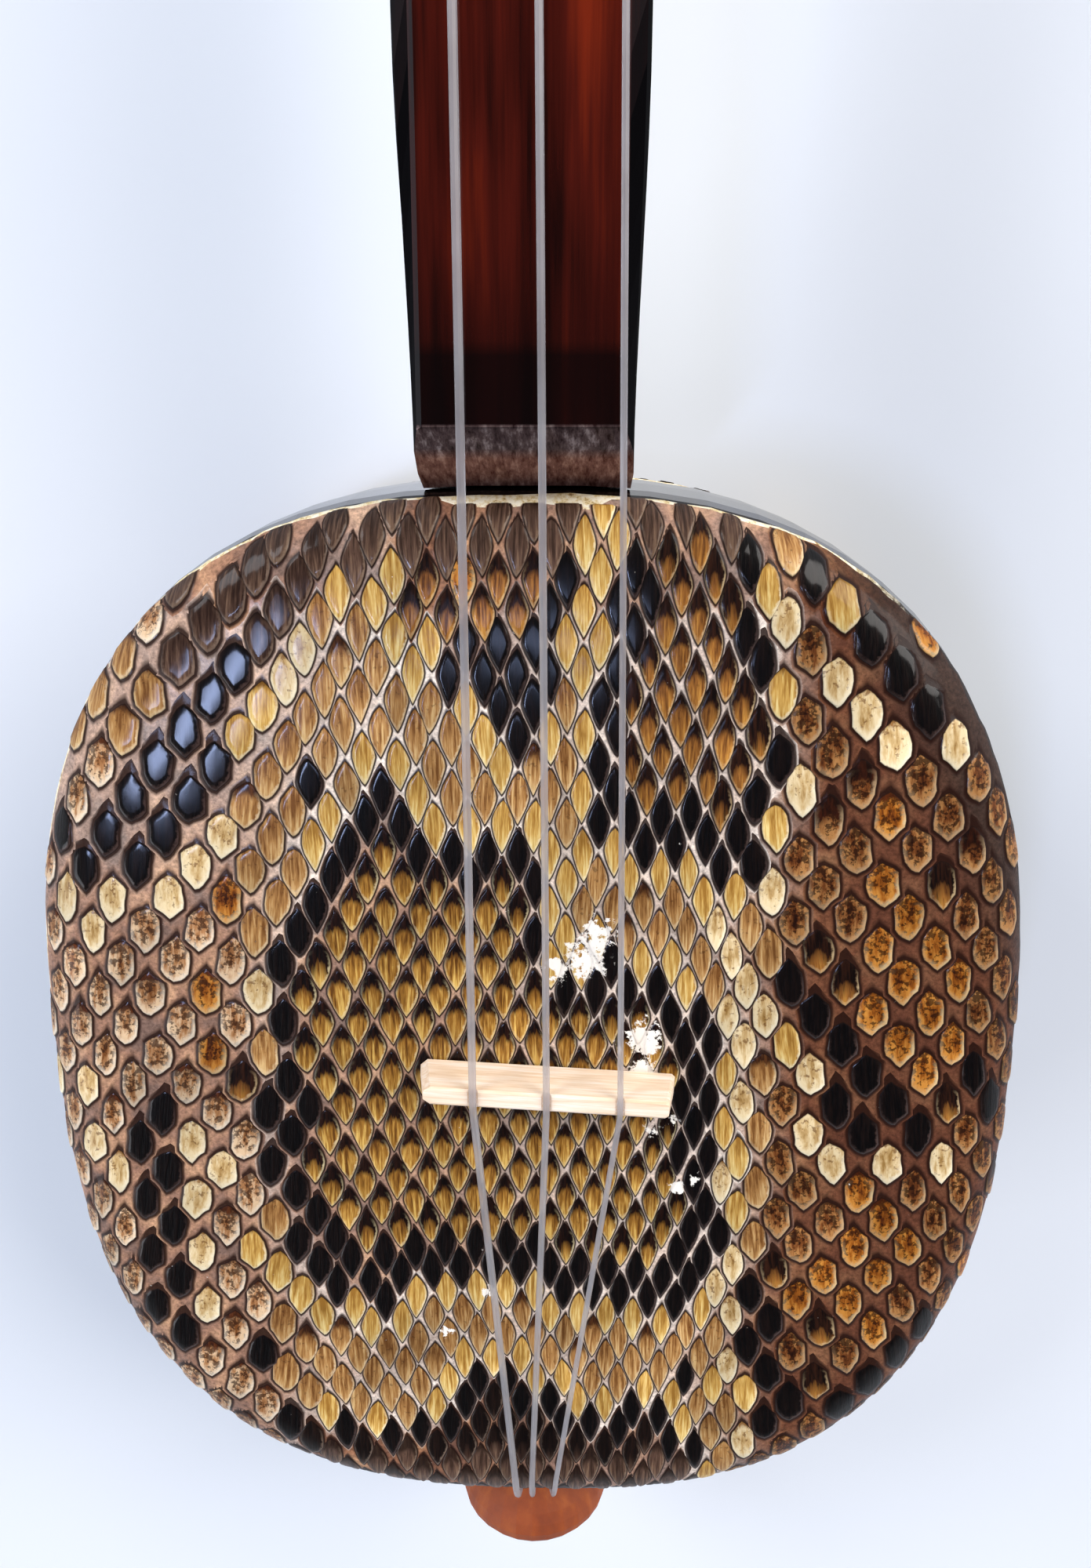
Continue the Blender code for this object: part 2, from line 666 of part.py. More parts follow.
def winding_entry(index):
    """Bend radius, bend lead and angle run at which the wound string turns into its peg."""
    bend = WINDING_BEND * STRING_DIAMETERS[index]
    lead = math.asin(bend / (winding_radius(index) - bend))
    return bend, lead, 2 * math.pi * WINDING_TURNS[index] - math.pi / 2 - lead


def winding_anchor(index):
    """Place across the head and angle of the hole in which the wound string ends."""
    run_end = winding_entry(index)[2]
    step = winding_pitch(index) * winding_way(index) / (2 * math.pi)
    return PEG_STRING_X[index] + step * run_end, leave_angle(index) + math.pi / 2


def winding_points(index):
    """The wound string: a tangent end towards the nut, the turns, and the end in the peg's hole."""
    radius = winding_radius(index)
    diameter = STRING_DIAMETERS[index]
    start = leave_angle(index)
    step = winding_pitch(index) * winding_way(index) / (2 * math.pi)
    bend, lead, run_end = winding_entry(index)

    def on_turn(run):
        angle = start - run
        x = PEG_STRING_X[index] + step * run
        return Vector((x, radius * math.cos(angle), radius * math.sin(angle)))

    tangent = Vector((0, -math.sin(start), math.cos(start)))
    reach = tangent_reach(index)
    points = [on_turn(0.0) + tangent * reach * share for share in (1.0, 0.5)]
    steps = round(WINDING_POINTS * WINDING_TURNS[index])
    points += [on_turn(run_end * k / steps) for k in range(steps + 1)]
    x_end, hole_angle = winding_anchor(index)
    turn_angle = hole_angle + lead
    middle = Vector((x_end, math.cos(turn_angle), math.sin(turn_angle)))
    middle.yz = middle.yz * (radius - bend)
    for k in range(1, 6):
        angle = turn_angle - (math.pi / 2 + lead) * k / 5
        points.append(middle + Vector((0, math.cos(angle), math.sin(angle))) * bend)
    inward = Vector((0, -math.cos(hole_angle), -math.sin(hole_angle)))
    points.append(points[-1] + inward * diameter)
    return points


def tangent_reach(index):
    """Length of the winding's straight end, so that the turning peg clears the string beyond."""
    diameter = STRING_DIAMETERS[index]
    outer = winding_radius(index) + 1.15 * diameter
    return math.sqrt(outer ** 2 - winding_radius(index) ** 2) - GAP


def make_tube(name, points, diameter, material, resolution):
    """A string along a list of points, as a bevelled curve with closed ends."""
    curve = bpy.data.curves.new(name, "CURVE")
    curve.dimensions = "3D"
    curve.bevel_depth = diameter / 2
    curve.bevel_resolution = resolution
    curve.use_fill_caps = True
    spline = curve.splines.new("POLY")
    spline.points.add(len(points) - 1)
    for point, place in zip(spline.points, points):
        point.co = (*place, 1.0)
    curve.materials.append(material)
    obj = bpy.data.objects.new(name, curve)
    bpy.context.scene.collection.objects.link(obj)
    return obj


def least_gap(points, diameter):
    """Least clear distance between parts of a wound tube that are not next to each other."""
    least = 1.0
    skip = round(WINDING_POINTS / 3)
    for i, here in enumerate(points):
        for there in points[i + skip:]:
            least = min(least, (here - there).length - diameter)
    return least


def make_winding(index, material):
    """The turns of string on one peg."""
    points = winding_points(index)
    diameter = STRING_DIAMETERS[index]
    print("winding %d: least gap to itself %.2f mm" % (index + 1, least_gap(points, diameter) / MM))
    winding = make_tube("peg_winding_%d" % (index + 1), points, diameter, material, 1)
    winding.location = peg_centre(index)
    return winding


# The bridge, the strings and the knob

def make_bridge(material):
    """Bridge: a plain bar with a narrower top, slanting ends and three notches."""
    shoulder = BRIDGE_HEIGHT - BRIDGE_EDGE
    side = [
        (-BRIDGE_FOOT / 2, 0.0),
        (BRIDGE_FOOT / 2, 0.0),
        (BRIDGE_TOP / 2, shoulder),
        (BRIDGE_TOP / 2 - BRIDGE_EDGE, BRIDGE_HEIGHT),
        (-BRIDGE_TOP / 2 + BRIDGE_EDGE, BRIDGE_HEIGHT),
        (-BRIDGE_TOP / 2, shoulder),
    ]
    across = Vector((math.cos(BRIDGE_TURN), math.sin(BRIDGE_TURN), 0))
    along = Vector((-math.sin(BRIDGE_TURN), math.cos(BRIDGE_TURN), 0))
    centre = Vector((BRIDGE_SHIFT, BRIDGE_Y, BRIDGE_FOOT_Z))
    # Each station's side, distance inside the end and share of the bar's depth
    stations = ((-1, 0.0, 0.45), (-1, BRIDGE_END_CUT, 1.0), (1, BRIDGE_END_CUT / 2, 1.0), (1, 0.0, 0.75))
    rings = []
    for way, cut, depth_share in stations:
        ring = []
        for y, z in side:
            x = way * (BRIDGE_LENGTH / 2 - cut - BRIDGE_END_SLANT * z / BRIDGE_HEIGHT)
            ring.append(centre + across * x + along * y * depth_share + Vector((0, 0, z)))
        rings.append(ring)
    bm = bmesh.new()
    add_rings(bm, rings)
    bridge = finish_mesh("bridge", bm, material, 25.0)

    for index, x in enumerate(BRIDGE_STRING_X):
        notch = Vector((x, bridge_y_at(x), bridge_string_z(index)))
        tool = notch_tool("cutter_bridge_notch_%d" % index, notch, STRING_DIAMETERS[index] / 2 + GAP)
        add_boolean(bridge, tool)
    return bridge


def bridge_y_at(x):
    """Place along the neck of the bridge's top where a string at x crosses it."""
    return BRIDGE_Y + (x - BRIDGE_SHIFT) * math.tan(BRIDGE_TURN)


def nut_string_z(index):
    """Height of a string's middle over the nut."""
    return FINGERBOARD_Z + NUT_RISE - NUT_NOTCH_DEPTH + GAP + STRING_DIAMETERS[index] / 2


def bridge_string_z(index):
    """Height of a string's middle over the bridge."""
    return BRIDGE_FOOT_Z + BRIDGE_HEIGHT - BRIDGE_NOTCH_DEPTH + GAP + STRING_DIAMETERS[index] / 2


def tail_rim_points(index):
    """The string's way over the drum's rounded tail rim, from first to last touch."""
    lift = SKIN_THICKNESS + 2 * GAP + STRING_DIAMETERS[index] / 2
    start = wall_inset(RIM_RADIUS) + RIM_RADIUS
    centre_y = TAIL_Y + start
    centre_z = HOOP_FRONT_Z - RIM_RADIUS
    radius = RIM_RADIUS + lift
    bridge = Vector((0, bridge_y_at(BRIDGE_STRING_X[index]), bridge_string_z(index)))
    away_y = bridge.y - centre_y
    away_z = bridge.z - centre_z
    first = math.atan2(away_z, away_y) + math.acos(radius / math.hypot(away_y, away_z))
    points = []
    steps = 6
    for k in range(steps + 1):
        angle = first + (math.pi - first) * k / steps
        x = RIM_STRING_X[index] * (1 - 0.25 * k / steps)
        points.append(Vector((x, centre_y + radius * math.cos(angle), centre_z + radius * math.sin(angle))))
    return points


def knob_loop_points(index):
    """The string's end: down to the knob's waist and once round it."""
    last = tail_rim_points(index)[-1]
    radius = KNOB_WAIST_RADIUS + GAP + STRING_DIAMETERS[index] / 2
    y = knob_loop_y(index)
    bend = KNOB_LOOP_BEND
    drop_x = last.x * 0.8
    top_z = ROD_Z + radius + bend
    points = [
        Vector((drop_x, (last.y * 2 + y) / 3, last.z - (last.z - top_z) * 0.45)),
        Vector((drop_x, y, top_z + KNOB_LOOP_LEAD)),
    ]
    for k in range(1, 5):
        turn = math.pi / 2 * k / 4
        points.append(Vector((drop_x + bend * (1 - math.cos(turn)), y, top_z - bend * math.sin(turn))))
    begin = math.asin(min(0.9, (drop_x + bend) / radius)) + KNOB_LOOP_LEAD / radius
    for k in range(1, LOOP_POINTS + 1):
        angle = begin + 2 * math.pi * KNOB_LOOP_SHARE * k / LOOP_POINTS
        points.append(Vector((radius * math.sin(angle), y, ROD_Z + radius * math.cos(angle))))
    return points


def knob_loop_y(index):
    """Place along the knob's waist where a string is looped."""
    share = (index + 0.5) / 3
    return TAIL_Y - GAP - KNOB_WAIST_START - KNOB_WAIST_LENGTH * share


def string_route(index):
    """A string's way from its peg over nut, bridge and rim to the knob."""
    centre = peg_centre(index)
    start = leave_angle(index)
    radius = winding_radius(index)
    tangent = Vector((0, -math.sin(start), math.cos(start)))
    leave = centre + Vector((PEG_STRING_X[index], radius * math.cos(start), radius * math.sin(start)))
    begin = leave + tangent * (tangent_reach(index) + GAP)
    nut_z = nut_string_z(index)
    nut_back = Vector((NUT_STRING_X[index], NUT_Y - NUT_CROWN, nut_z))
    nut_front = Vector((NUT_STRING_X[index], NUT_Y - NUT_THICKNESS, nut_z))
    bridge_x = BRIDGE_STRING_X[index]
    bridge_y = bridge_y_at(bridge_x)
    bridge_z = bridge_string_z(index)
    half_top = BRIDGE_TOP / 2
    points = [begin]
    points += [begin.lerp(nut_back, share) for share in (0.5, 0.9)]
    points += [nut_back, nut_front]
    bridge_near = Vector((bridge_x, bridge_y + half_top, bridge_z))
    points += [nut_front.lerp(bridge_near, share) for share in (0.02, 0.25, 0.5, 0.75, 0.98)]
    points.append(bridge_near)
    bridge_far = Vector((bridge_x, bridge_y - half_top, bridge_z))
    points.append(bridge_far)
    rim = tail_rim_points(index)
    points += [bridge_far.lerp(rim[0], share) for share in (0.06, 0.5, 0.9)]
    points += rim
    points += knob_loop_points(index)
    return points


def make_string(index, material):
    """One string, whole from the winding to its loop on the knob."""
    return make_tube("string_%d" % (index + 1), string_route(index), STRING_DIAMETERS[index], material, 2)


def knob_socket_tool():
    """The socket in the rod's tail end that holds the knob's shank."""
    radius = KNOB_SHANK_RADIUS + GAP
    profile = [(-CUT_REACH, radius), (KNOB_SHANK_LENGTH + 2 * GAP, radius)]
    bm = bmesh.new()
    rings = turned_rings(profile, lambda t, u, v: Vector((u, TAIL_Y + t, ROD_Z + v)))
    add_rings(bm, rings)
    return as_cutter(finish_mesh("cutter_knob_socket", bm, bpy.data.materials["black_lacquer"]))


def make_knob(material):
    """Tail knob: a shank, a waist for the strings, a swell and a domed end."""
    waist_end = KNOB_WAIST_START + KNOB_WAIST_LENGTH
    widest = KNOB_LENGTH - KNOB_DOME_LENGTH
    profile = [
        (-KNOB_SHANK_LENGTH, KNOB_SHANK_RADIUS - KNOB_EDGE),
        (-KNOB_SHANK_LENGTH + KNOB_EDGE, KNOB_SHANK_RADIUS),
        (0.0, KNOB_SHANK_RADIUS),
        (0.0, KNOB_FOOT_RADIUS),
        (KNOB_EDGE, KNOB_FOOT_RADIUS),
        (KNOB_WAIST_START, KNOB_WAIST_RADIUS),
    ]
    growth = KNOB_RADIUS - KNOB_WAIST_RADIUS
    swell_steps = 5
    for k in range(swell_steps + 1):
        share = k / swell_steps
        radius = KNOB_WAIST_RADIUS + growth * math.sin(math.pi / 2 * share)
        profile.append((waist_end + (widest - waist_end) * share, radius))
    dome_steps = 7
    for k in range(1, dome_steps + 1):
        angle = math.radians(87.0) * k / dome_steps
        profile.append((widest + KNOB_DOME_LENGTH * math.sin(angle), KNOB_RADIUS * math.cos(angle)))
    start = TAIL_Y - GAP
    bm = bmesh.new()
    rings = turned_rings(profile, lambda t, u, v: Vector((u, start - t, ROD_Z + v)))
    add_rings(bm, rings)
    return finish_mesh("tail_knob", bm, material, 50.0)


def build():
    """Make every piece of the sanshin."""
    clear_scene()
    lacquer = make_material("black_lacquer", (0.012, 0.010, 0.010), 0.25)
    red_lacquer = make_material("red_brown_lacquer", (0.075, 0.012, 0.006), 0.18)
    skin = make_material("snakeskin", (0.32, 0.20, 0.07), 0.38)
    maple = make_material("pale_maple", (0.80, 0.58, 0.36), 0.55)
    turned_wood = make_material("orange_brown_wood", (0.42, 0.14, 0.035), 0.42)
    bone = make_material("bone", (0.78, 0.72, 0.58), 0.40)
    ebony = make_material("dark_peg_wood", (0.030, 0.016, 0.010), 0.35)
    nylon = make_material("nylon_string", (0.72, 0.74, 0.76), 0.30)

    walls = make_hoop(lacquer)
    cut_mortises(walls)
    make_skin("skin_front", skin, True)
    make_skin("skin_back", skin, False)
    make_neck(red_lacquer)
    make_nut(bone)
    for index in range(3):
        make_peg(index, ebony)
        make_winding(index, nylon)
        make_string(index, nylon)
    make_bridge(maple)
    make_knob(turned_wood)


build()
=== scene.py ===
# %% [markdown]
# # A sanshin, dressed for its photograph
#
# A sanshin is a long-necked lute with three strings and a small drum covered with python skin. Its hard
# pieces come from a measured model, which this lesson loads as a fixed frame and never moves. The lesson
# gives each piece the finish of the real thing, and builds the snakeskin as a mesh, scale by scale.
#
# The frame's axes: +Y up the neck, +X to the right, +Z out of the front skin, and the drum's back at z = 0.

# %% Load the frame
import math
import random

import bpy
import numpy as np
from mathutils import Matrix, Vector


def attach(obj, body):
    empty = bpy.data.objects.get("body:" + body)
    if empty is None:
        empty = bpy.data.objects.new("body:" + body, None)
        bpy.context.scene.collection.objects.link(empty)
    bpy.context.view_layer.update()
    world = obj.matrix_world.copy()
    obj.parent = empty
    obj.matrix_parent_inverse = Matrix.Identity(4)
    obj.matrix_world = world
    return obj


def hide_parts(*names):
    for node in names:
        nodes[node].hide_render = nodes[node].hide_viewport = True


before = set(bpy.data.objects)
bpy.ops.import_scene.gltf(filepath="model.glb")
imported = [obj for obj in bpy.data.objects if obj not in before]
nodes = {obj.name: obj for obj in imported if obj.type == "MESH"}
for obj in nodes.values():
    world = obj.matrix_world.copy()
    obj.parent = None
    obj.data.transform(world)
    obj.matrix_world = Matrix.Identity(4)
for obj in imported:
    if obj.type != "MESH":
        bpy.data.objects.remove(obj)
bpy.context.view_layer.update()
MM = 0.001
print("pieces of the frame:", ", ".join(sorted(nodes)))

# %% [markdown]
# ## Helpers for colour and nodes
#
# Colours are written as sRGB hex values, as a paint chart or a photo editor gives them, but Blender's shaders
# work in linear light. One function turns the one into the other. A second one adds any node to a material,
# sets it up and links it, so that each material below reads as a short recipe.

# %% Colour and node helpers


def linear(colour, alpha=1.0):
    """An sRGB hex colour, such as #c8a050, as linear red, green, blue and alpha."""
    parts = [int(colour[i:i + 2], 16) / 255 for i in (1, 3, 5)]
    light = [c / 12.92 if c <= 0.04045 else ((c + 0.055) / 1.055) ** 2.4 for c in parts]
    return (*light, alpha)


def add_node(tree, kind, inputs=None, stops=None, **settings):
    """Add a node. inputs maps a socket to a value, a hex colour or another node's output."""
    made = tree.nodes.new(kind)
    for name, value in settings.items():
        setattr(made, name, value)
    for socket, value in (inputs or {}).items():
        if isinstance(value, bpy.types.NodeSocket):
            tree.links.new(value, made.inputs[socket])
        elif isinstance(value, str):
            made.inputs[socket].default_value = linear(value)
        else:
            made.inputs[socket].default_value = value
    for number, (place, colour) in enumerate(stops or []):
        points = made.color_ramp.elements
        point = points[number] if number < 2 else points.new(place)
        point.position = place
        point.color = linear(colour)
    return made


def start_material(name, **shader_values):
    """A new material with its Principled shader's own sockets set; returns tree and shader too."""
    material = bpy.data.materials.new(name)
    material.use_nodes = True
    tree = material.node_tree
    shader = tree.nodes["Principled BSDF"]
    for socket, value in shader_values.items():
        shader.inputs[socket.replace("_", " ")].default_value = value
    return material, tree, shader


def join(tree, output, shader, socket):
    """Link a node's output to one of the shader's sockets."""
    tree.links.new(output, shader.inputs[socket])


print("linear value of mid grey #808080:", round(linear("#808080")[0], 3))

# %% [markdown]
# ## The camera
#
# The photograph was taken with a phone, close above the drum and tilted a little towards the tail. A wide
# lens at that short distance makes the near end of the neck look large. The lens and the place were worked out
# from the drum's outline and the strings: a 26 mm phone lens about 180 mm above the skin.

# %% Camera
PHOTO_WIDTH = 1391
PHOTO_HEIGHT = 2000
FOCAL_PIXELS = 1503.0
SENSOR_HEIGHT = 24.0
CAMERA_PLACE = Vector((8.5, 101.8, 256.0)) * MM
CAMERA_TILT = math.radians(15.8)
CAMERA_ROLL = math.radians(0.43)
CAMERA_PAN = math.radians(1.6)


def make_camera():
    """The photograph's camera, looking down and towards the tail."""
    forward = Vector((0, -math.sin(CAMERA_TILT), -math.cos(CAMERA_TILT)))
    up = Vector((0, math.cos(CAMERA_TILT), -math.sin(CAMERA_TILT)))
    right = Vector((1, 0, 0))
    right, up = (
        right * math.cos(CAMERA_ROLL) + up * math.sin(CAMERA_ROLL),
        up * math.cos(CAMERA_ROLL) - right * math.sin(CAMERA_ROLL),
    )
    right, forward = (
        right * math.cos(CAMERA_PAN) + forward * math.sin(CAMERA_PAN),
        forward * math.cos(CAMERA_PAN) - right * math.sin(CAMERA_PAN),
    )
    data = bpy.data.cameras.new("photo_camera")
    data.sensor_fit = "VERTICAL"
    data.sensor_height = SENSOR_HEIGHT
    data.lens = FOCAL_PIXELS * SENSOR_HEIGHT / PHOTO_HEIGHT
    data.clip_start = 5 * MM
    camera = bpy.data.objects.new("photo_camera", data)
    turn = Matrix((right, up, -forward)).transposed()
    camera.matrix_world = Matrix.Translation(CAMERA_PLACE) @ turn.to_4x4()
    bpy.context.scene.collection.objects.link(camera)
    bpy.context.scene.camera = camera
    return camera


camera = make_camera()
print("lens: %.1f mm on a %.0f mm high sensor" % (camera.data.lens, SENSOR_HEIGHT))

# %% [markdown]
# ## Floor and light
#
# A plain pale floor stands in for the studio. A soft lamp stands low on the left, two more fill the shadows
# from the neck's side, and two narrow ones give the streaks of light on the upper scales. Straight above the
# drum the room is dark: glossy black scales mirror that dark and stay black, while the left and lower rim
# catches the bright walls.

# %% Floor and light
FLOOR_SIZE = 6.0
FLOOR_COLOUR = "#e7eaed"
SHOULDER_STREAK_PLACE = Vector((-0.8, -0.27, 2.43))
NECK_STREAK_PLACE = Vector((-0.142, -0.14, 2.556))
WALL_LIGHT = 1.24
CEILING_LIGHT = 0.06
FAR_WALL_SHARE = 1.0


def make_floor():
    """A wide plain floor just under the drum's back."""
    half = FLOOR_SIZE / 2
    mesh = bpy.data.meshes.new("studio_floor")
    corners = [(-half, -half, 0), (half, -half, 0), (half, half, 0), (-half, half, 0)]
    mesh.from_pydata(corners, [], [(0, 1, 2, 3)])
    floor = bpy.data.objects.new("studio_floor", mesh)
    floor.location.z = -0.3 * MM
    material, tree, shader = start_material("matt_pale_studio_paper", Roughness=0.9)
    shader.inputs["Specular IOR Level"].default_value = 0.1
    place = add_node(tree, "ShaderNodeTexCoord")
    cloud = add_node(tree, "ShaderNodeTexNoise", {"Vector": place.outputs["Object"], "Scale": 5.0})
    tint = add_node(
        tree, "ShaderNodeValToRGB", {"Fac": cloud.outputs["Fac"]},
        stops=[(0.35, "#e1e5e9"), (0.65, FLOOR_COLOUR)],
    )
    join(tree, tint.outputs["Color"], shader, "Base Color")
    mesh.materials.append(material)
    bpy.context.scene.collection.objects.link(floor)
    return floor


def make_lamp(name, place, size, watts, colour, turn=0.0):
    """A soft rectangular lamp that faces the drum's middle, turned about its own axis."""
    data = bpy.data.lights.new(name, "AREA")
    data.shape = "RECTANGLE"
    data.size, data.size_y = size
    data.energy = watts
    data.color = linear(colour)[:3]
    lamp = bpy.data.objects.new(name, data)
    facing = (Vector((0, 0, 0.05)) - place).to_track_quat("-Z", "Y").to_matrix().to_4x4()
    lamp.matrix_world = Matrix.Translation(place) @ Matrix.Rotation(turn, 4, "Z") @ facing
    bpy.context.scene.collection.objects.link(lamp)


def make_world():
    """A room that is bright low down and dark overhead; FAR_WALL_SHARE dims its right and neck side against the left
    and tail, and at 1.0 it is as bright on every side.
    """
    world = bpy.data.worlds.new("pale_room")
    world.use_nodes = True
    tree = world.node_tree
    way = add_node(tree, "ShaderNodeTexCoord")
    split = add_node(tree, "ShaderNodeSeparateXYZ", {"Vector": way.outputs["Generated"]})
    height = add_node(
        tree, "ShaderNodeMapRange",
        {"Value": split.outputs["Z"], "From Min": 0.2, "From Max": 0.7, "To Min": 1.0, "To Max": 0.0},
    )
    towards_tail = add_node(
        tree, "ShaderNodeVectorMath", {0: way.outputs["Generated"], 1: (-0.86, -0.5, 0.0)},
        operation="DOT_PRODUCT",
    )
    side = add_node(
        tree, "ShaderNodeMapRange",
        {"Value": towards_tail.outputs["Value"], "From Min": -0.5, "From Max": 0.4,
         "To Min": FAR_WALL_SHARE * WALL_LIGHT, "To Max": WALL_LIGHT},
    )
    strength = add_node(
        tree, "ShaderNodeMath",
        {0: height.outputs["Result"], 1: side.outputs["Result"], 2: CEILING_LIGHT}, operation="MULTIPLY_ADD",
    )
    background = tree.nodes["Background"]
    background.inputs["Color"].default_value = linear("#e4ecf6")
    tree.links.new(strength.outputs["Value"], background.inputs["Strength"])
    bpy.context.scene.world = world


make_floor()
make_lamp("window", Vector((-1.65, -0.77, 1.3)), (0.9, 0.9), 15.0, "#f6f8ff")
make_lamp("room_left", Vector((-1.5, 1.4, 1.4)), (0.9, 0.9), 29.0, "#f9faff")
make_lamp("room_right", Vector((1.6, 1.2, 1.4)), (1.4, 1.4), 57.0, "#fffaf6")
make_lamp("shoulder_streak", SHOULDER_STREAK_PLACE, (0.5, 0.1), 15.0, "#bccfff", math.radians(116))
make_lamp("neck_streak", NECK_STREAK_PLACE, (0.5, 0.08), 2.2, "#bccfff", math.radians(41))
make_world()
bpy.context.scene.view_settings.view_transform = "Standard"
print("lamps:", ", ".join(sorted(lamp.name for lamp in bpy.data.lights)))

# %% [markdown]
# ## The drum's surface as a formula
#
# The drum's outline is a superellipse, a circle pulled towards a square. The skin lies flat on top, turns
# over a rounded rim and laps down the wall. To lay scales on it, a flat map of the skin is useful: u runs
# across and v along the drum, in real millimetres of skin, and a function wraps any point of the map round the
# rim. All sizes are those of the frame.

# %% Wrap a flat map of skin over the drum
DRUM_WIDTH = 172.0 * MM
DRUM_LENGTH = 195.0 * MM
DRUM_SQUARENESS = 2.6
HOOP_DEPTH = 71.4 * MM
HOOP_BULGE = 2.0 * MM
RIM_RADIUS = 9.0 * MM
GAP = 0.3 * MM
SKIN_THICKNESS = 1.0 * MM
HOOP_BACK_Z = GAP + SKIN_THICKNESS
HOOP_FRONT_Z = HOOP_BACK_Z + HOOP_DEPTH
SKIN_TOP = GAP + SKIN_THICKNESS
SCALE_RELIEF = 0.4 * MM
NET_LIFT = SKIN_TOP - SCALE_RELIEF
FRONT_LAP = (9.2 * MM, 17.0 * MM)
BACK_LAP = (14.0 * MM, 14.0 * MM)
LAP_POWER = 4


def wall_inset(depth):
    """How far the barrel-shaped wall lies inside its widest line."""
    return HOOP_BULGE * (1 - 2 * depth / HOOP_DEPTH) ** 2


LAND_INSET = wall_inset(RIM_RADIUS) + RIM_RADIUS


def flat_inset(u, v):
    """Distance from the outline at which the drum's superellipse passes through each map point."""
    low = np.full(u.shape, -0.04)
    high = np.full(u.shape, DRUM_WIDTH / 2 - 1e-6)
    for _ in range(40):
        middle = (low + high) / 2
        reach_u = np.abs(u) / (DRUM_WIDTH / 2 - middle)
        reach_v = np.abs(v) / (DRUM_LENGTH / 2 - middle)
        outside = reach_u ** DRUM_SQUARENESS + reach_v ** DRUM_SQUARENESS > 1
        high = np.where(outside, middle, high)
        low = np.where(outside, low, middle)
    return (low + high) / 2


def wrap(u, v, lift, front=True):
    """Places on the drum, in metres, of points on the flat map of the skin."""
    inset = flat_inset(u, v)
    run = np.maximum(LAND_INSET - inset, 0.0)
    quarter = RIM_RADIUS * math.pi / 2
    angle = np.minimum(run, quarter) / RIM_RADIUS
    below = RIM_RADIUS + np.maximum(run - quarter, 0.0)
    on_rim = run <= quarter
    rim_inset = wall_inset(RIM_RADIUS) + RIM_RADIUS * (1 - np.sin(angle)) - lift * np.sin(angle)
    rim_depth = RIM_RADIUS * (1 - np.cos(angle)) - lift * np.cos(angle)
    new_inset = np.where(on_rim, rim_inset, wall_inset(below) - lift)
    depth = np.where(on_rim, rim_depth, below)
    wrapped = run > 0
    x = np.where(wrapped, u * (DRUM_WIDTH / 2 - new_inset) / (DRUM_WIDTH / 2 - inset), u)
    y = np.where(wrapped, v * (DRUM_LENGTH / 2 - new_inset) / (DRUM_LENGTH / 2 - inset), v)
    z = HOOP_FRONT_Z - depth if front else HOOP_BACK_Z + depth
    return np.stack([x, y, z], axis=-1)


def lap_at(v, front=True):
    """How far the skin runs past the flat land: it laps further down the wall at the tail."""
    neck_lap, tail_lap = FRONT_LAP if front else BACK_LAP
    share = np.clip(0.5 - v / DRUM_LENGTH, 0, 1)
    return neck_lap + (tail_lap - neck_lap) * share ** LAP_POWER


corner = wrap(np.array([0.06]), np.array([0.07]), SKIN_TOP)[0]
print("map point (60, 70) mm wraps to (%.1f, %.1f, %.1f) mm" % tuple(corner / MM))

# %% [markdown]
# ## The lattice of scales
#
# A python's scales stand in slanting rows. Along the back they are small and narrow, like leaves, and towards
# the belly they grow wider and rounder, with more bare skin between them. The lattice here is made of columns
# along the drum. Each column is set half a scale off its neighbours, the columns stand further apart on the
# flanks, and the rows spread there like a fan.

# %% Lay out the lattice
COLUMN_STEP_SPINE = 2.66 * MM
COLUMN_STEP_DRIFT = 0.009
COLUMN_STEP_FLANK = 4.8 * MM
COLUMN_STEP_EDGE = 3.6 * MM
EDGE_START = 62.0 * MM
EDGE_END = 76.0 * MM
FIRST_COLUMN_X = 4.0 * MM
SPINE_MIDDLE_X = -1.5 * MM
SPINE_HALF_WIDTH = 29.0 * MM
FLANK_START = 51.0 * MM
ROW_PITCH = 9.9 * MM
ROW_ZERO_Y = -1.4 * MM
ROW_TILT = 0.03
FAN = 0.17
FAN_MIDDLE_Y = 8.0 * MM
FAN_START = 8.0 * MM
FAN_END = 60.0 * MM
MAP_EDGE = 112.0 * MM


def soft_step(value):
    """A soft ramp from 0 to 1."""
    value = min(1.0, max(0.0, value))
    return value * value * (3 - 2 * value)


def flankness(x):
    """0 along the spine of the skin, 1 on its flanks."""
    return soft_step((abs(x - SPINE_MIDDLE_X) - SPINE_HALF_WIDTH) / (FLANK_START - SPINE_HALF_WIDTH))


def column_step(x):
    """Distance between neighbouring columns: wider on the flanks, and closer again at the very edge."""
    spine = COLUMN_STEP_SPINE - COLUMN_STEP_DRIFT * x
    at_edge = soft_step((abs(x) - EDGE_START) / (EDGE_END - EDGE_START))
    flank = COLUMN_STEP_FLANK + (COLUMN_STEP_EDGE - COLUMN_STEP_FLANK) * at_edge
    return spine + (flank - spine) * flankness(x)


def lay_columns():
    """Places of the columns of scales across the drum."""
    columns = {0: FIRST_COLUMN_X}
    for side in (1, -1):
        x = FIRST_COLUMN_X
        number = 0
        while abs(x) < MAP_EDGE:
            x += side * column_step(x)
            number += side
            columns[number] = x
    return columns


def scale_place(number, x, row):
    """Where the scale of a column and row stands on the flat map."""
    y = ROW_ZERO_Y + ROW_PITCH * (row + 0.5 * (number % 2))
    spread = FAN * soft_step((abs(x - SPINE_MIDDLE_X) - FAN_START) / (FAN_END - FAN_START))
    return x, y + spread * (y - FAN_MIDDLE_Y) + ROW_TILT * x


columns = lay_columns()
print("columns of scales:", len(columns))

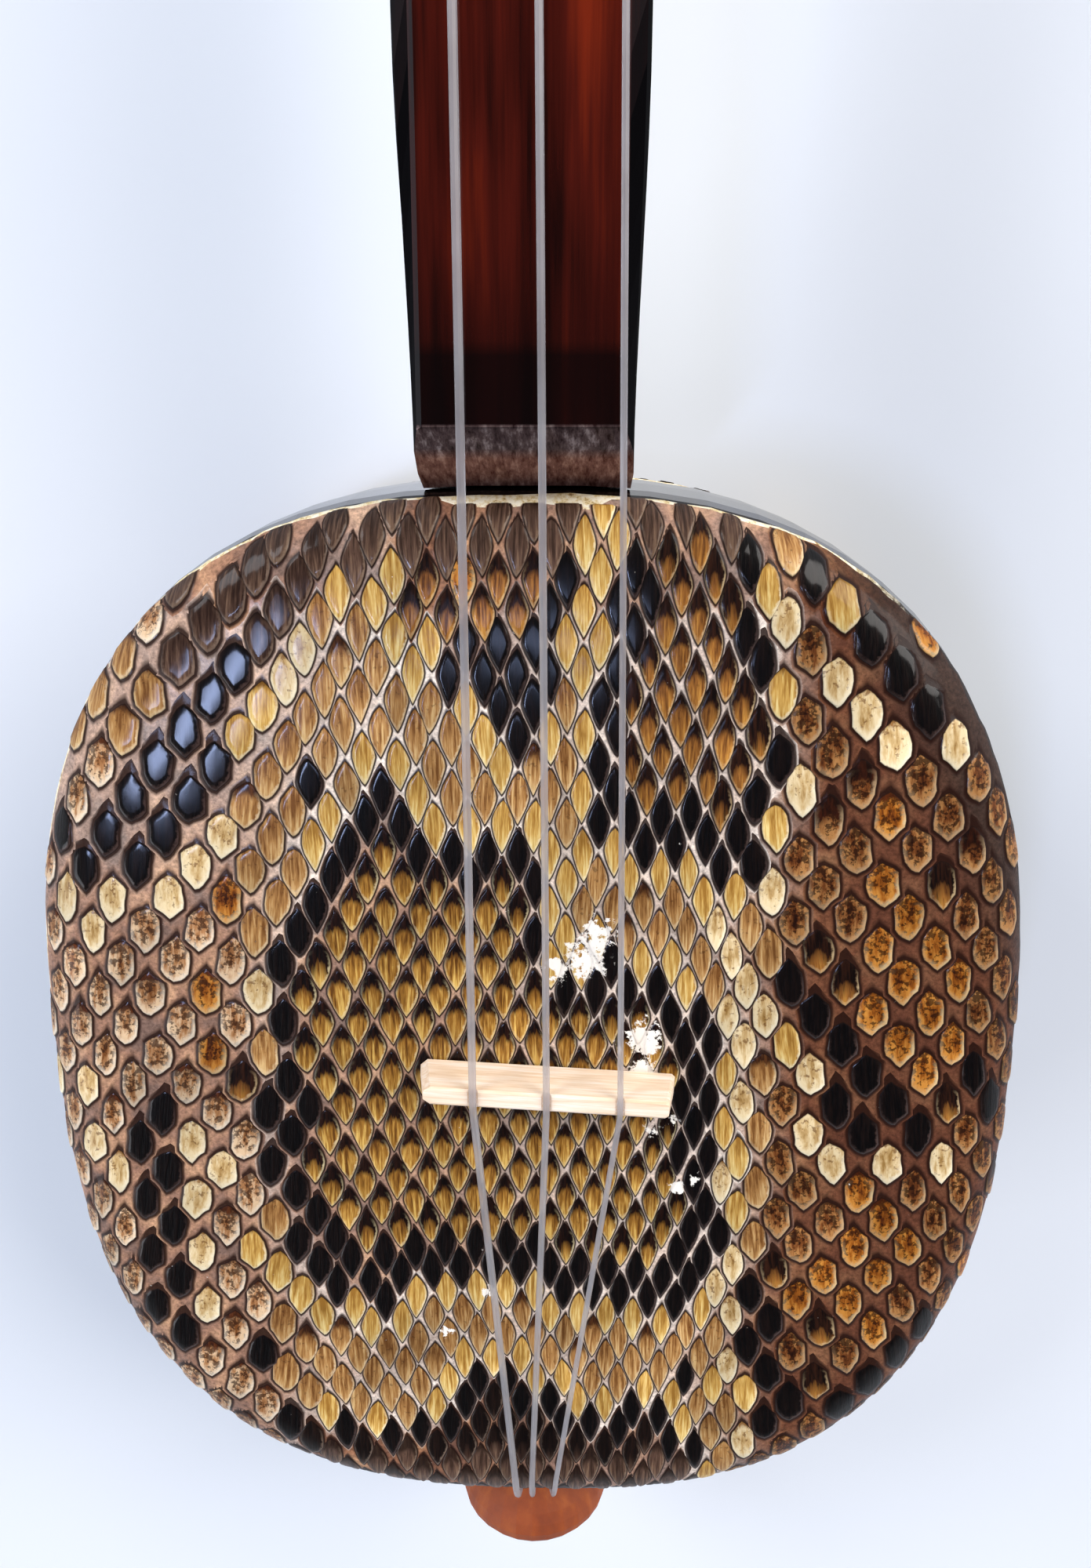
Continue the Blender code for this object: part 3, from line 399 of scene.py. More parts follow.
# %% [markdown]
# ## The pattern of the skin
#
# A python carries dark saddles along its back. Each has a border of black scales and a lighter middle, where
# every scale wears a black cap on its front half, and a band of gold scales lies round it. On the flanks run
# chains of black scales with pale or orange ones beside them, in a ground of speckled brown. The outlines
# and the single scales below are in millimetres on the flat map. A scale takes its kind from the mark that is
# nearest to it, or else from the region that its middle falls in.

# %% Outlines of the saddles
SADDLES = {
    "middle": [
        (-23, 54), (-20, 47), (-15, 39), (-12, 41), (-9, 37), (-7, 41), (-4, 38), (-2, 43), (1, 38), (4, 34),
        (4, 18), (6, 18), (9, 14), (13, 21), (16, 19), (18, 14), (21, 19), (24, 14), (26, 8), (30, 11),
        (33, 3), (33, -11), (37, -18), (35, -24), (37, -31), (33, -39), (27, -50), (22, -48), (19, -51),
        (17, -47), (14, -51), (12, -46), (9, -50), (7, -47), (4, -50), (0, -42), (-3, -45), (-5, -42),
        (-8, -47), (-10, -43), (-13, -45), (-16, -42), (-18, -45), (-21, -42), (-27, -53), (-30, -49),
        (-33, -53), (-36, -48), (-43, -37), (-48, -25), (-46, -20), (-48, -13), (-45, -6), (-45, 15),
        (-39, 25), (-35, 32), (-31, 41), (-25, 48),
    ],
    "neck_left": [
        (-21, 110), (-20, 84), (-22, 79), (-18, 69), (-15, 74), (-12, 66), (-10, 64), (-6, 64), (-2, 54),
        (0, 59), (2, 57), (3, 64), (6, 69), (7, 78), (9, 87), (11, 110),
    ],
    "neck_right": [
        (16, 110), (15, 82), (13, 76), (13, 71), (11, 61), (10, 44), (11, 39), (13, 44), (16, 41), (19, 35),
        (21, 40), (24, 36), (26, 43), (29, 37), (31, 32), (34, 38), (38, 33), (39, 44), (43, 54), (39, 66),
        (40, 72), (35, 82), (31, 110),
    ],
    "tail": [
        (-46, -76), (-42, -74), (-37, -77), (-31, -76), (-25, -78), (-19, -76), (-16, -68), (-14, -73),
        (-10, -63), (-6, -62), (-2, -63), (2, -71), (5, -67), (9, -75), (11, -71), (14, -75), (20, -70),
        (24, -69), (28, -75), (33, -82), (36, -112), (-48, -112),
    ],
}
BORDER_WIDTH = {"middle": (3.6, 8.0), "neck_left": (2.5, 14.0), "neck_right": (4.5, 6.0), "tail": (4.5, 4.5)}
BORDER_CHANGE = {"middle": (15, -15), "neck_left": (78, 70), "neck_right": (60, 40), "tail": (0, -90)}
print("saddles:", ", ".join(SADDLES))

# %% Single scales that stand out
MARKED_SCALES = {
    "black": [
        (-46, 66), (-51, 62), (-56, 57), (-61, 51), (-65, 46), (-70, 40), (-74, 35), (-77, 40), (-51, 50), (-56, 45),
        (-61, 40), (-66, 34), (-35, 49), (-66, -13), (-71, -19), (-66, -25), (-70, -30), (-65, -37),
        (-69, -41), (-65, -48), (-68, -51), (-64, -58), (-73, -71), (-69, -79), (-46, -60), (43, 14), (47, 9),
        (52, 4), (56, -1), (61, -7), (65, -12), (51, -7), (56, -12), (73, -10), (76, -4), (79, -8),
        (44, -47), (48, -52), (44, -59), (47, -64), (51, -69), (47, -74), (55, -72), (60, -66), (65, -60),
        (68, -54), (31, -64), (46, 85), (51, 82), (56, 77), (61, 71), (65, 67), (69, 61), (53, 73), (58, 68),
        (62, 63),
    ],
    "brown": [
        (-35, 88), (-34, 84), (-38, 81), (-44, 77), (-49, 72), (-29, 88), (-36, 76), (-41, 71), (-40, 86),
        (-52, 70), (-45, 80),
    ],
    "cream": [
        (-77, 30), (-71, 29), (-75, 23), (-61, 28), (-56, 33), (-51, 39), (-34, 70), (-37, 67), (-46, 10),
        (-46, -3), (-61, -19), (-60, -31), (-60, -43), (-60, -54), (-69, -83), (-51, -20), (-77, -4),
        (-77, -16), (-76, -24), (44, 49), (50, 67), (54, 62), (59, 56), (66, 56), (41, 76), (47, -3),
        (46, -14), (35, -8), (37, -25), (36, -38), (33, -43), (51, -19), (60, -18), (70, -18), (64, -37),
        (40, -53), (39, -64), (41, -78), (48, -92), (40, 31), (33, 19), (36, 13), (31, 25), (33, 8), (39, 7),
        (35, 2),
    ],
    "gold": [
        (-41, 61), (-46, 56), (-32, 80), (-46, -37), (-42, -43), (-39, -48), (-35, -53), (-30, -52), (41, 66),
        (36, 82), (48, 77), (43, 3), (30, -47), (26, -53), (42, -69), (34, -69), (41, 42), (34, 31), (29, 30),
        (25, 13),
    ],
    "orange": [
        (58, 33), (63, 27), (57, 21), (67, 22), (62, 16), (67, 10), (57, 10), (70, 4), (71, 17), (62, 4),
        (66, -2), (54, -36), (58, -42), (68, -40), (53, -47), (62, -46), (58, -53), (62, -57), (-51, 27),
        (-56, 10), (-56, -2), (-12, 82),
    ],
    "half_black": [(48, 21), (52, 15), (48, -41), (53, -57), (56, -63), (70, -7), (67, 33), (-49, -7)],
}
WORN_SPOTS = [
    (9.7, 19.6, 7.0), (11.6, 24.0, 5.0), (5.5, 17.4, 4.5), (19.6, 4.5, 6.0), (19.5, -1.0, 4.0), (21.6, -12.2, 2.5),
    (25.0, -10.6, 2.5), (26.7, -23.9, 2.5), (29.5, -22.3, 2.0), (-15.0, -55.7, 2.5), (-7.7, -46.9, 2.5),
]
print("marked scales:", sum(len(marks) for marks in MARKED_SCALES.values()))

# %% Choose the kind of each scale


def segment_distance(x, y, start, end):
    """Distance from a point to a straight stretch."""
    run_x = end[0] - start[0]
    run_y = end[1] - start[1]
    share = ((x - start[0]) * run_x + (y - start[1]) * run_y) / (run_x ** 2 + run_y ** 2)
    share = min(1.0, max(0.0, share))
    return math.hypot(x - start[0] - run_x * share, y - start[1] - run_y * share)


def outline_depth(x, y, outline):
    """How deep a point lies inside an outline; negative outside."""
    inside = False
    nearest = 1e9
    for start, end in zip(outline, outline[1:] + outline[:1]):
        nearest = min(nearest, segment_distance(x, y, start, end))
        if (start[1] > y) != (end[1] > y):
            crossing = start[0] + (y - start[1]) * (end[0] - start[0]) / (end[1] - start[1])
            if x < crossing:
                inside = not inside
    return nearest if inside else -nearest


def saddle_at(x, y):
    """The saddle that a point lies in or nearest to, and how deep."""
    depths = {name: outline_depth(x, y, outline) for name, outline in SADDLES.items()}
    name = max(depths, key=depths.get)
    return name, depths[name]


NO_CAP = -0.2
FULL_CAP = 1.3


def kind_in_saddle(name, depth, y, dice):
    """Kind and cap of a scale in a saddle: a black border, then caps that grow shorter inwards."""
    high, low = BORDER_CHANGE[name]
    share = soft_step((high - y) / (high - low))
    border = BORDER_WIDTH[name][0] + (BORDER_WIDTH[name][1] - BORDER_WIDTH[name][0]) * share
    inner = depth - border + dice.uniform(-0.8, 0.8)
    # By the neck's foot the scales get the dull finish: painted shade of the neck.
    if name == "neck_left" and y > 86 or name == "neck_right" and y > 88:
        return "dull", NO_CAP
    if name == "tail" and y < -83:
        return "dull", dice.uniform(0.1, 0.5)
    if inner < 0:
        return "black", FULL_CAP
    cap = max(0.36, 0.66 - inner / 22) + dice.uniform(-0.1, 0.12)
    if name == "tail":
        return "brown", cap + 0.25
    return ("olive", cap) if name == "middle" else ("ochre", cap)


def kind_outside(x, y, out, dice):
    """Kind and cap of a scale outside the saddles: gold at their edge, then tan, and speckled flanks."""
    flank = flankness(x * MM)
    draw = dice.random()
    # Near the neck (y above 84) the dull finish is painted shade of the neck; on the upper left some scales are dull
    # at random.
    if y > 84 and -26 < x < 40 and not 9 < x < 17 or y > 72 and x <= -26 and draw < 0.3:
        return "dull", NO_CAP
    if out < 3.4 and flank < 0.6:
        return "gold", NO_CAP
    if flank < 0.8 and out < 24:
        return ("tan", NO_CAP) if draw < 0.9 else ("tan", 0.3)
    if x > 0:
        return ("orange", 0.1) if draw < 0.16 else ("rust", 0.55 if draw > 0.9 else NO_CAP)
    if draw < 0.08:
        return "cream", NO_CAP
    return ("tan" if y > 45 and draw < 0.5 else "speckled"), dice.uniform(-0.2, 0.24)


def scale_kind(x, y, dice):
    """Kind and cap of an unmarked scale at a place in millimetres; dice is a seeded random source."""
    name, depth = saddle_at(x, y)
    return kind_in_saddle(name, depth, y, dice) if depth > 0 else kind_outside(x, y, -depth, dice)


def mark_kind(kind, dice):
    """Kind and cap of a marked scale."""
    if kind == "black":
        return "black", FULL_CAP
    if kind == "half_black":
        return "ochre", 0.7
    return kind, NO_CAP + dice.uniform(0.0, 0.25)


print("a scale in the middle of the drum:", scale_kind(-10, 0, random.Random(1)))

# %% [markdown]
# ## Finishes of the snakeskin
#
# Varnished python skin shows horn-like scales with fine stripes along them, a dark cap at the front, a thin
# dark line round the edge and a pale rim just inside it, made stronger towards each scale's right side as a
# painted highlight. Each kind of scale is one material made by the same recipe from its own colours. The recipe
# reads a small map laid on every scale (across and along), three random numbers per scale and the length of
# its cap, so that no two look the same.

# %% Scale materials
STRIPES_PER_SCALE = 8.0
SPECK_SIZE = 0.55 * MM
FLAKE_SIZE = 2.2 * MM
GRIME_SIZE = 13.0 * MM
EDGE_LINE = "#1a0d08"
SCALE_FINISHES = {
    "black": dict(cap=("#040202", "#150b08"), body=("#0b0504", "#1c0f0b", "#42302a"), rim="#54403a", specks=0.0),
    "brown": dict(cap=("#0d0604", "#20120c"), body=("#24150e", "#3f2c22", "#68503f"), rim="#86705f", specks=0.1),
    # The dull finish is also laid by the neck's foot as painted shade of the neck.
    "dull": dict(cap=("#22150f", "#35251b"), body=("#33231a", "#523c30", "#765c48"), rim="#947c66", specks=0.15),
    "olive": dict(cap=("#0a0403", "#2b150c"), body=("#5a3612", "#986a2a", "#d2aa5a"), rim="#ecd8a8", specks=0.12),
    "ochre": dict(cap=("#0e0503", "#331a0e"), body=("#4e2c13", "#8a5826", "#b8823a"), rim="#dcbc8c", specks=0.12),
    "gold": dict(cap=("#54340e", "#805824"), body=("#94682a", "#c2984e", "#e4ca86"), rim="#fbeecb", specks=0.02),
    "tan": dict(cap=("#2c160a", "#5c361a"), body=("#6c4420", "#a07442", "#caa670"), rim="#e8d0a8", specks=0.25),
    "cream": dict(cap=("#684220", "#986e3e"), body=("#94703c", "#c0a06c", "#dec89c"), rim="#f2e6c8", specks=0.4),
    "speckled": dict(cap=("#2a1208", "#5c3016"), body=("#70421f", "#a2734a", "#d4b48e"), rim="#f0dfc6", specks=0.8),
    "rust": dict(cap=("#160703", "#3c190a"), body=("#381a0a", "#683a1a", "#a07040"), rim="#c0a078", specks=0.85),
    "orange": dict(cap=("#200b04", "#54260a"), body=("#4c220a", "#8c4e16", "#ba7c34"), rim="#d8bc8c", specks=0.75),
}
FLANK_KINDS = ("cream", "speckled", "rust", "orange")


def add_flakes(tree, sound_colour):
    """Mix white flakes over a colour where the skin is worn."""
    place = add_node(tree, "ShaderNodeTexCoord")
    flakes = add_node(
        tree, "ShaderNodeTexNoise",
        {"Vector": place.outputs["Object"], "Scale": 1 / FLAKE_SIZE, "Detail": 5.0, "Roughness": 0.7},
    )
    worn = add_node(tree, "ShaderNodeAttribute", attribute_name="skin_wear")
    flaking = add_node(
        tree, "ShaderNodeMath", {0: worn.outputs["Fac"], 1: 0.42, 2: flakes.outputs["Fac"]},
        operation="MULTIPLY_ADD",
    )
    flaked = add_node(
        tree, "ShaderNodeMapRange", {"Value": flaking.outputs["Value"], "From Min": 0.72, "From Max": 0.77},
    )
    return add_node(
        tree, "ShaderNodeMix", {0: flaked.outputs["Result"], 6: sound_colour, 7: "#f4ecdf"}, data_type="RGBA",
    )


def make_scale_material(kind, cap, body, rim, specks):
    """Horny python scale: stripes along it, a dark front cap, a dark edge line, a pale rim made stronger on the
    right as a painted highlight, and specks.
    """
    on_flank = kind in FLANK_KINDS
    material, tree, shader = start_material(
        "python_scale_" + kind, Roughness=0.5, IOR=1.5, Specular_IOR_Level=0.05,
        Coat_Weight=0.3 if kind == "black" else 0.2, Coat_Roughness=0.12,
    )
    place = add_node(tree, "ShaderNodeTexCoord")
    on_scale = add_node(tree, "ShaderNodeUVMap", uv_map="scale_map")
    chance = add_node(tree, "ShaderNodeAttribute", attribute_name="scale_chance")
    apart = add_node(
        tree, "ShaderNodeVectorMath",
        {0: chance.outputs["Color"], 1: (37.0, 53.0, 71.0)}, operation="MULTIPLY",
    )
    shifted = add_node(
        tree, "ShaderNodeVectorMath", {0: on_scale.outputs["UV"], 1: apart.outputs["Vector"]},
        operation="ADD",
    )
    long_way = add_node(
        tree, "ShaderNodeMapping",
        {"Vector": shifted.outputs["Vector"],
         "Scale": (4.5, 2.2, 1.0) if on_flank else (STRIPES_PER_SCALE, 1.3, 1.0)},
    )
    stripes = add_node(
        tree, "ShaderNodeTexNoise",
        {"Vector": long_way.outputs["Vector"], "Scale": 1.0, "Detail": 3.0, "Roughness": 0.65},
    )
    split = add_node(tree, "ShaderNodeSeparateXYZ", {"Vector": on_scale.outputs["UV"]})
    lower = add_node(
        tree, "ShaderNodeMapRange",
        {"Value": split.outputs["Y"], "From Min": 0.75, "From Max": 0.0, "To Min": -0.04, "To Max": 0.12},
    )
    streaked = add_node(
        tree, "ShaderNodeMath", {0: stripes.outputs["Fac"], 1: lower.outputs["Result"]}, operation="ADD",
    )
    edge = add_node(tree, "ShaderNodeAttribute", attribute_name="scale_edge")
    to_edge = add_node(
        tree, "ShaderNodeMath",
        {0: edge.outputs["Fac"], 1: 0.2 if on_flank else 0.04, 2: streaked.outputs["Value"]},
        operation="MULTIPLY_ADD",
    )
    coloured = add_node(
        tree, "ShaderNodeValToRGB", {"Fac": to_edge.outputs["Value"]},
        stops=[(0.4, body[0]), (0.56, body[1]), (0.74, body[2])],
    )
    speck_noise = add_node(
        tree, "ShaderNodeTexNoise",
        {"Vector": place.outputs["Object"], "Scale": 1 / SPECK_SIZE / 2, "Detail": 2.5, "Roughness": 0.75},
    )
    more_in_front = add_node(
        tree, "ShaderNodeMath", {0: split.outputs["Y"], 1: 0.12, 2: speck_noise.outputs["Fac"]},
        operation="MULTIPLY_ADD",
    )
    speck = add_node(
        tree, "ShaderNodeMapRange",
        {"Value": more_in_front.outputs["Value"], "From Min": 0.72 - 0.22 * specks,
         "From Max": 0.79 - 0.22 * specks, "To Max": min(0.8, specks * 1.8)},
    )
    specked = add_node(
        tree, "ShaderNodeMix",
        {0: speck.outputs["Result"], 6: coloured.outputs["Color"], 7: cap[0]}, data_type="RGBA",
    )
    cap_colour = add_node(
        tree, "ShaderNodeValToRGB", {"Fac": stripes.outputs["Fac"]}, stops=[(0.42, cap[0]), (0.72, cap[1])],
    )
    streaks = add_node(
        tree, "ShaderNodeMath", {0: stripes.outputs["Fac"], 1: 0.75, 2: split.outputs["Y"]},
        operation="MULTIPLY_ADD",
    )
    cap_reach = add_node(
        tree, "ShaderNodeMath", {0: streaks.outputs["Value"], 1: chance.outputs["Alpha"]}, operation="ADD",
    )
    down_the_sides = add_node(
        tree, "ShaderNodeMath", {0: edge.outputs["Fac"], 1: 0.34, 2: cap_reach.outputs["Value"]},
        operation="MULTIPLY_ADD",
    )
    in_cap = add_node(
        tree, "ShaderNodeMapRange",
        {"Value": down_the_sides.outputs["Value"], "From Min": 1.5, "From Max": 1.68},
    )
    capped = add_node(
        tree, "ShaderNodeMix",
        {0: in_cap.outputs["Result"], 6: specked.outputs[2], 7: cap_colour.outputs["Color"]}, data_type="RGBA",
    )
    uneven = add_node(
        tree, "ShaderNodeMath", {0: speck_noise.outputs["Fac"], 1: 0.5, 2: edge.outputs["Fac"]},
        operation="MULTIPLY_ADD",
    )
    near_edge = add_node(
        tree, "ShaderNodeMapRange",
        {"Value": uneven.outputs["Value"], "From Min": 0.9 if on_flank else 1.02,
         "From Max": 1.16, "To Max": 0.8 if on_flank else 0.6},
    )
    # Pale rim on the rear of each scale: partly its own pale edge, and made stronger towards its right side as a
    # painted highlight on the raised edge.
    low_end = add_node(
        tree, "ShaderNodeMapRange", {"Value": split.outputs["Y"], "From Min": 0.8, "From Max": 0.4},
    )
    painted_highlight_side = add_node(
        tree, "ShaderNodeMapRange",
        {"Value": split.outputs["X"], "From Min": 0.2, "From Max": 0.8, "To Min": 0.35},
    )
    rim_low = add_node(
        tree, "ShaderNodeMath", {0: near_edge.outputs["Result"], 1: low_end.outputs["Result"]},
        operation="MULTIPLY",
    )
    rim_and_highlight_share = add_node(
        tree, "ShaderNodeMath", {0: rim_low.outputs["Value"], 1: painted_highlight_side.outputs["Result"]},
        operation="MULTIPLY",
    )
    rimmed = add_node(
        tree, "ShaderNodeMix", {0: rim_and_highlight_share.outputs["Value"], 6: capped.outputs[2], 7: rim}, data_type="RGBA",
    )
    line = add_node(
        tree, "ShaderNodeMapRange", {"Value": edge.outputs["Fac"], "From Min": 0.93, "From Max": 0.99},
    )
    lined = add_node(
        tree, "ShaderNodeMix", {0: line.outputs["Result"], 6: rimmed.outputs[2], 7: EDGE_LINE}, data_type="RGBA",
    )
    grime = add_node(
        tree, "ShaderNodeTexNoise", {"Vector": place.outputs["Object"], "Scale": 1 / GRIME_SIZE, "Detail": 3.0},
    )
    clean = add_node(
        tree, "ShaderNodeMath", {0: chance.outputs["Fac"], 1: 0.35, 2: grime.outputs["Fac"]},
        operation="MULTIPLY_ADD",
    )
    tone = add_node(
        tree, "ShaderNodeMapRange",
        {"Value": clean.outputs["Value"], "From Min": 0.4, "From Max": 0.95, "To Min": 0.66, "To Max": 1.26},
    )
    toned = add_node(
        tree, "ShaderNodeHueSaturation", {"Color": lined.outputs[2], "Value": tone.outputs["Result"]},
    )
    aged = add_flakes(tree, toned.outputs["Color"])
    join(tree, aged.outputs[2], shader, "Base Color")
    bump = add_node(
        tree, "ShaderNodeBump",
        {"Height": stripes.outputs["Fac"], "Strength": 0.8, "Distance": (0.36 if kind == "black" else 0.18) * MM},
    )
    join(tree, bump.outputs["Normal"], shader, "Normal")
    return material


scale_materials = {kind: make_scale_material(kind, **finish) for kind, finish in SCALE_FINISHES.items()}
print("scale materials:", ", ".join(scale_materials))

# %% Bare skin between the scales and its cut edge


def make_bare_skin():
    """Tanned skin between the scales: painted shade in dark brown beside each scale, and a pale wrinkled ridge
    between them.
    """
    material, tree, shader = start_material(
        "tanned_python_skin", Roughness=0.5, Specular_IOR_Level=0.05, Coat_Weight=0.12, Coat_Roughness=0.15,
    )
    place = add_node(tree, "ShaderNodeTexCoord")
    blotch = add_node(
        tree, "ShaderNodeTexNoise",
        {"Vector": place.outputs["Object"], "Scale": 1 / (9 * MM), "Detail": 4.0, "Roughness": 0.6},
    )
    colour = add_node(
        tree, "ShaderNodeValToRGB", {"Fac": blotch.outputs["Fac"]},
        stops=[(0.36, "#562a12"), (0.5, "#865230"), (0.64, "#b58258")],
    )
    split = add_node(tree, "ShaderNodeSeparateXYZ", {"Vector": place.outputs["Object"]})
    to_right = add_node(
        tree, "ShaderNodeMapRange",
        {"Value": split.outputs["X"], "From Min": 28 * MM, "From Max": 58 * MM, "To Max": 0.85},
    )
    rusty = add_node(
        tree, "ShaderNodeMix",
        {0: to_right.outputs["Result"], 6: colour.outputs["Color"], 7: "#50240e"}, data_type="RGBA",
    )
    # The skin turns dark towards the upper right of the drum.
    towards_shoulder = add_node(
        tree, "ShaderNodeMath",
        {0: split.outputs["Y"], 1: 0.5, 2: split.outputs["X"]}, operation="MULTIPLY_ADD",
    )
    at_shoulder = add_node(
        tree, "ShaderNodeMapRange",
        {"Value": towards_shoulder.outputs["Value"], "From Min": 85 * MM, "From Max": 95 * MM, "To Max": 0.85},
    )
    darker_upper_right = add_node(
        tree, "ShaderNodeMix",
        {0: at_shoulder.outputs["Result"], 6: rusty.outputs[2], 7: "#1f0f08"}, data_type="RGBA",
    )
    pale = add_node(tree, "ShaderNodeAttribute", attribute_name="skin_pale")
    palely = add_node(
        tree, "ShaderNodeMix",
        {0: pale.outputs["Fac"], 6: darker_upper_right.outputs[2], 7: "#f4e6d6"}, data_type="RGBA",
    )
    grain = add_node(
        tree, "ShaderNodeTexNoise",
        {"Vector": place.outputs["Object"], "Scale": 1 / (0.8 * MM), "Detail": 4.0, "Roughness": 0.7},
    )
    fleck = add_node(
        tree, "ShaderNodeMapRange",
        {"Value": grain.outputs["Fac"], "From Min": 0.32, "From Max": 0.68, "To Min": 0.55, "To Max": 1.45},
    )
    flecked = add_node(
        tree, "ShaderNodeHueSaturation", {"Color": palely.outputs[2], "Value": fleck.outputs["Result"]},
    )
    # Painted shade: skin_shade darkens the skin beside each scale, most at its edge, and further above the tips of
    # capped scales.
    beside = add_node(tree, "ShaderNodeAttribute", attribute_name="skin_shade")
    ragged = add_node(
        tree, "ShaderNodeMath", {0: grain.outputs["Fac"], 1: 0.5, 2: beside.outputs["Fac"]},
        operation="MULTIPLY_ADD",
    )
    painted_shade = add_node(
        tree, "ShaderNodeMapRange",
        {"Value": ragged.outputs["Value"], "From Min": 0.32, "From Max": 0.9, "To Max": 0.95},
    )
    shaded = add_node(
        tree, "ShaderNodeMix",
        {0: painted_shade.outputs["Result"], 6: flecked.outputs["Color"], 7: "#241009"}, data_type="RGBA",
    )
    aged = add_flakes(tree, shaded.outputs[2])
    join(tree, aged.outputs[2], shader, "Base Color")
    ridge = add_node(
        tree, "ShaderNodeMath", {0: beside.outputs["Fac"], 1: -1.6, 2: grain.outputs["Fac"]},
        operation="MULTIPLY_ADD",
    )
    bump = add_node(
        tree, "ShaderNodeBump", {"Height": ridge.outputs["Value"], "Strength": 0.7, "Distance": 0.2 * MM},
    )
    join(tree, bump.outputs["Normal"], shader, "Normal")
    return material


def make_cut_edge():
    """The skin's raw cut edge: dry, fibrous and cream, and dark on the right."""
    material, tree, shader = start_material("dry_hide_edge", Roughness=0.8)
    place = add_node(tree, "ShaderNodeTexCoord")
    fibre = add_node(
        tree, "ShaderNodeTexNoise",
        {"Vector": place.outputs["Object"], "Scale": 1 / (1.2 * MM), "Detail": 4.0, "Roughness": 0.75},
    )
    colour = add_node(
        tree, "ShaderNodeValToRGB", {"Fac": fibre.outputs["Fac"]},
        stops=[(0.32, "#8a6438"), (0.42, "#e0c890"), (0.56, "#f6ecd2")],
    )
    split = add_node(tree, "ShaderNodeSeparateXYZ", {"Vector": place.outputs["Object"]})
    spotted = add_node(
        tree, "ShaderNodeMath", {0: fibre.outputs["Fac"], 1: -20 * MM, 2: split.outputs["X"]},
        operation="MULTIPLY_ADD",
    )
    # The edge turns dark towards the right.
    darker_on_right = add_node(
        tree, "ShaderNodeMapRange",
        {"Value": spotted.outputs["Value"], "From Min": 40 * MM, "From Max": 50 * MM},
    )
    right_darkened = add_node(
        tree, "ShaderNodeMix",
        {0: darker_on_right.outputs["Result"], 6: colour.outputs["Color"], 7: "#1c0f09"}, data_type="RGBA",
    )
    join(tree, right_darkened.outputs[2], shader, "Base Color")
    bump = add_node(
        tree, "ShaderNodeBump", {"Height": fibre.outputs["Fac"], "Strength": 0.7, "Distance": 0.3 * MM},
    )
    join(tree, bump.outputs["Normal"], shader, "Normal")
    return material


bare_skin = make_bare_skin()
cut_edge = make_cut_edge()
print("skin materials:", bare_skin.name, cut_edge.name)

# %% [markdown]
# ## The skin as a mesh
#
# The bare skin is a fine sheet that runs in rings from the middle of the drum, over the rim and down to the
# uneven cut edge. On it every scale is a small raised leaf with a rounded back, highest at its rear end, where a
# real scale overlaps the next. Real relief gives the thin shadow lines that a bump map can't.

# %% Build the skin sheet
SHEET_POINTS = 240
SHEET_RINGS = 36
LAP_RINGS = 20
EDGE_FRAY = 0.45 * MM
RAW_EDGE = 0.7 * MM
PEELED_EDGE = 2.4 * MM
PEELED_HALF_WIDTH = 13.0 * MM


def edge_fray(angle):
    """The unevenness of the knife cut round the drum, from a few waves."""
    waves = ((7, 0.3), (17, 1.9), (31, 4.2), (58, 0.7), (89, 2.6))
    return sum(np.sin(count * angle + phase) / math.sqrt(k + 1) for k, (count, phase) in enumerate(waves)) / 2


def outline_map(angle, inset):
    """Map points on the drum's outline, drawn in by inset."""
    c = np.cos(angle)
    s = np.sin(angle)
    power = 2 / DRUM_SQUARENESS
    u = np.copysign(np.abs(c) ** power, c) * (DRUM_WIDTH / 2 - inset)
    v = np.copysign(np.abs(s) ** power, s) * (DRUM_LENGTH / 2 - inset)
    return u, v


def raw_width(u, v):
    """Width of the bare cream strip along the cut edge: widest where the skin has peeled by the neck."""
    under_neck = (np.abs(u) < PEELED_HALF_WIDTH) & (v > 0)
    return np.where(under_neck, PEELED_EDGE, RAW_EDGE)


def sheet_rings(front):
    """Rings of the skin sheet from its middle to its cut edge, and round the edge to the wood."""
    angle = 2 * math.pi * (np.arange(SHEET_POINTS) + 0.5) / SHEET_POINTS
    deepest = DRUM_WIDTH / 2 - 3 * MM
    rings = []
    for k in range(SHEET_RINGS):
        inset = deepest + (LAND_INSET - deepest) * k / (SHEET_RINGS - 1)
        u, v = outline_map(angle, np.full(SHEET_POINTS, inset))
        rings.append(wrap(u, v, NET_LIFT, front))
    u_edge, v_edge = outline_map(angle, np.zeros(SHEET_POINTS))
    lap = lap_at(v_edge, front) + EDGE_FRAY * edge_fray(angle) - EDGE_FRAY
    raw = raw_width(u_edge, v_edge) * (1 + 0.4 * edge_fray(angle * 3 + 1))
    for k in range(1, LAP_RINGS + 1):
        u, v = outline_map(angle, LAND_INSET - (lap - raw) * k / LAP_RINGS)
        rings.append(wrap(u, v, NET_LIFT, front))
    u, v = outline_map(angle, LAND_INSET - lap)
    rings.append(wrap(u, v, NET_LIFT - 0.1 * MM, front))
    u, v = outline_map(angle, LAND_INSET - lap - 0.1 * MM)
    rings.append(wrap(u, v, GAP, front))
    return rings


def wear_at(x, y):
    """How worn the skin is at places in millimetres: 0 sound, 1 flaked white."""
    wear = np.zeros(x.shape)
    for spot_x, spot_y, size in WORN_SPOTS:
        wear = np.maximum(wear, 1 - np.hypot(x - spot_x, y - spot_y) / size)
    return wear


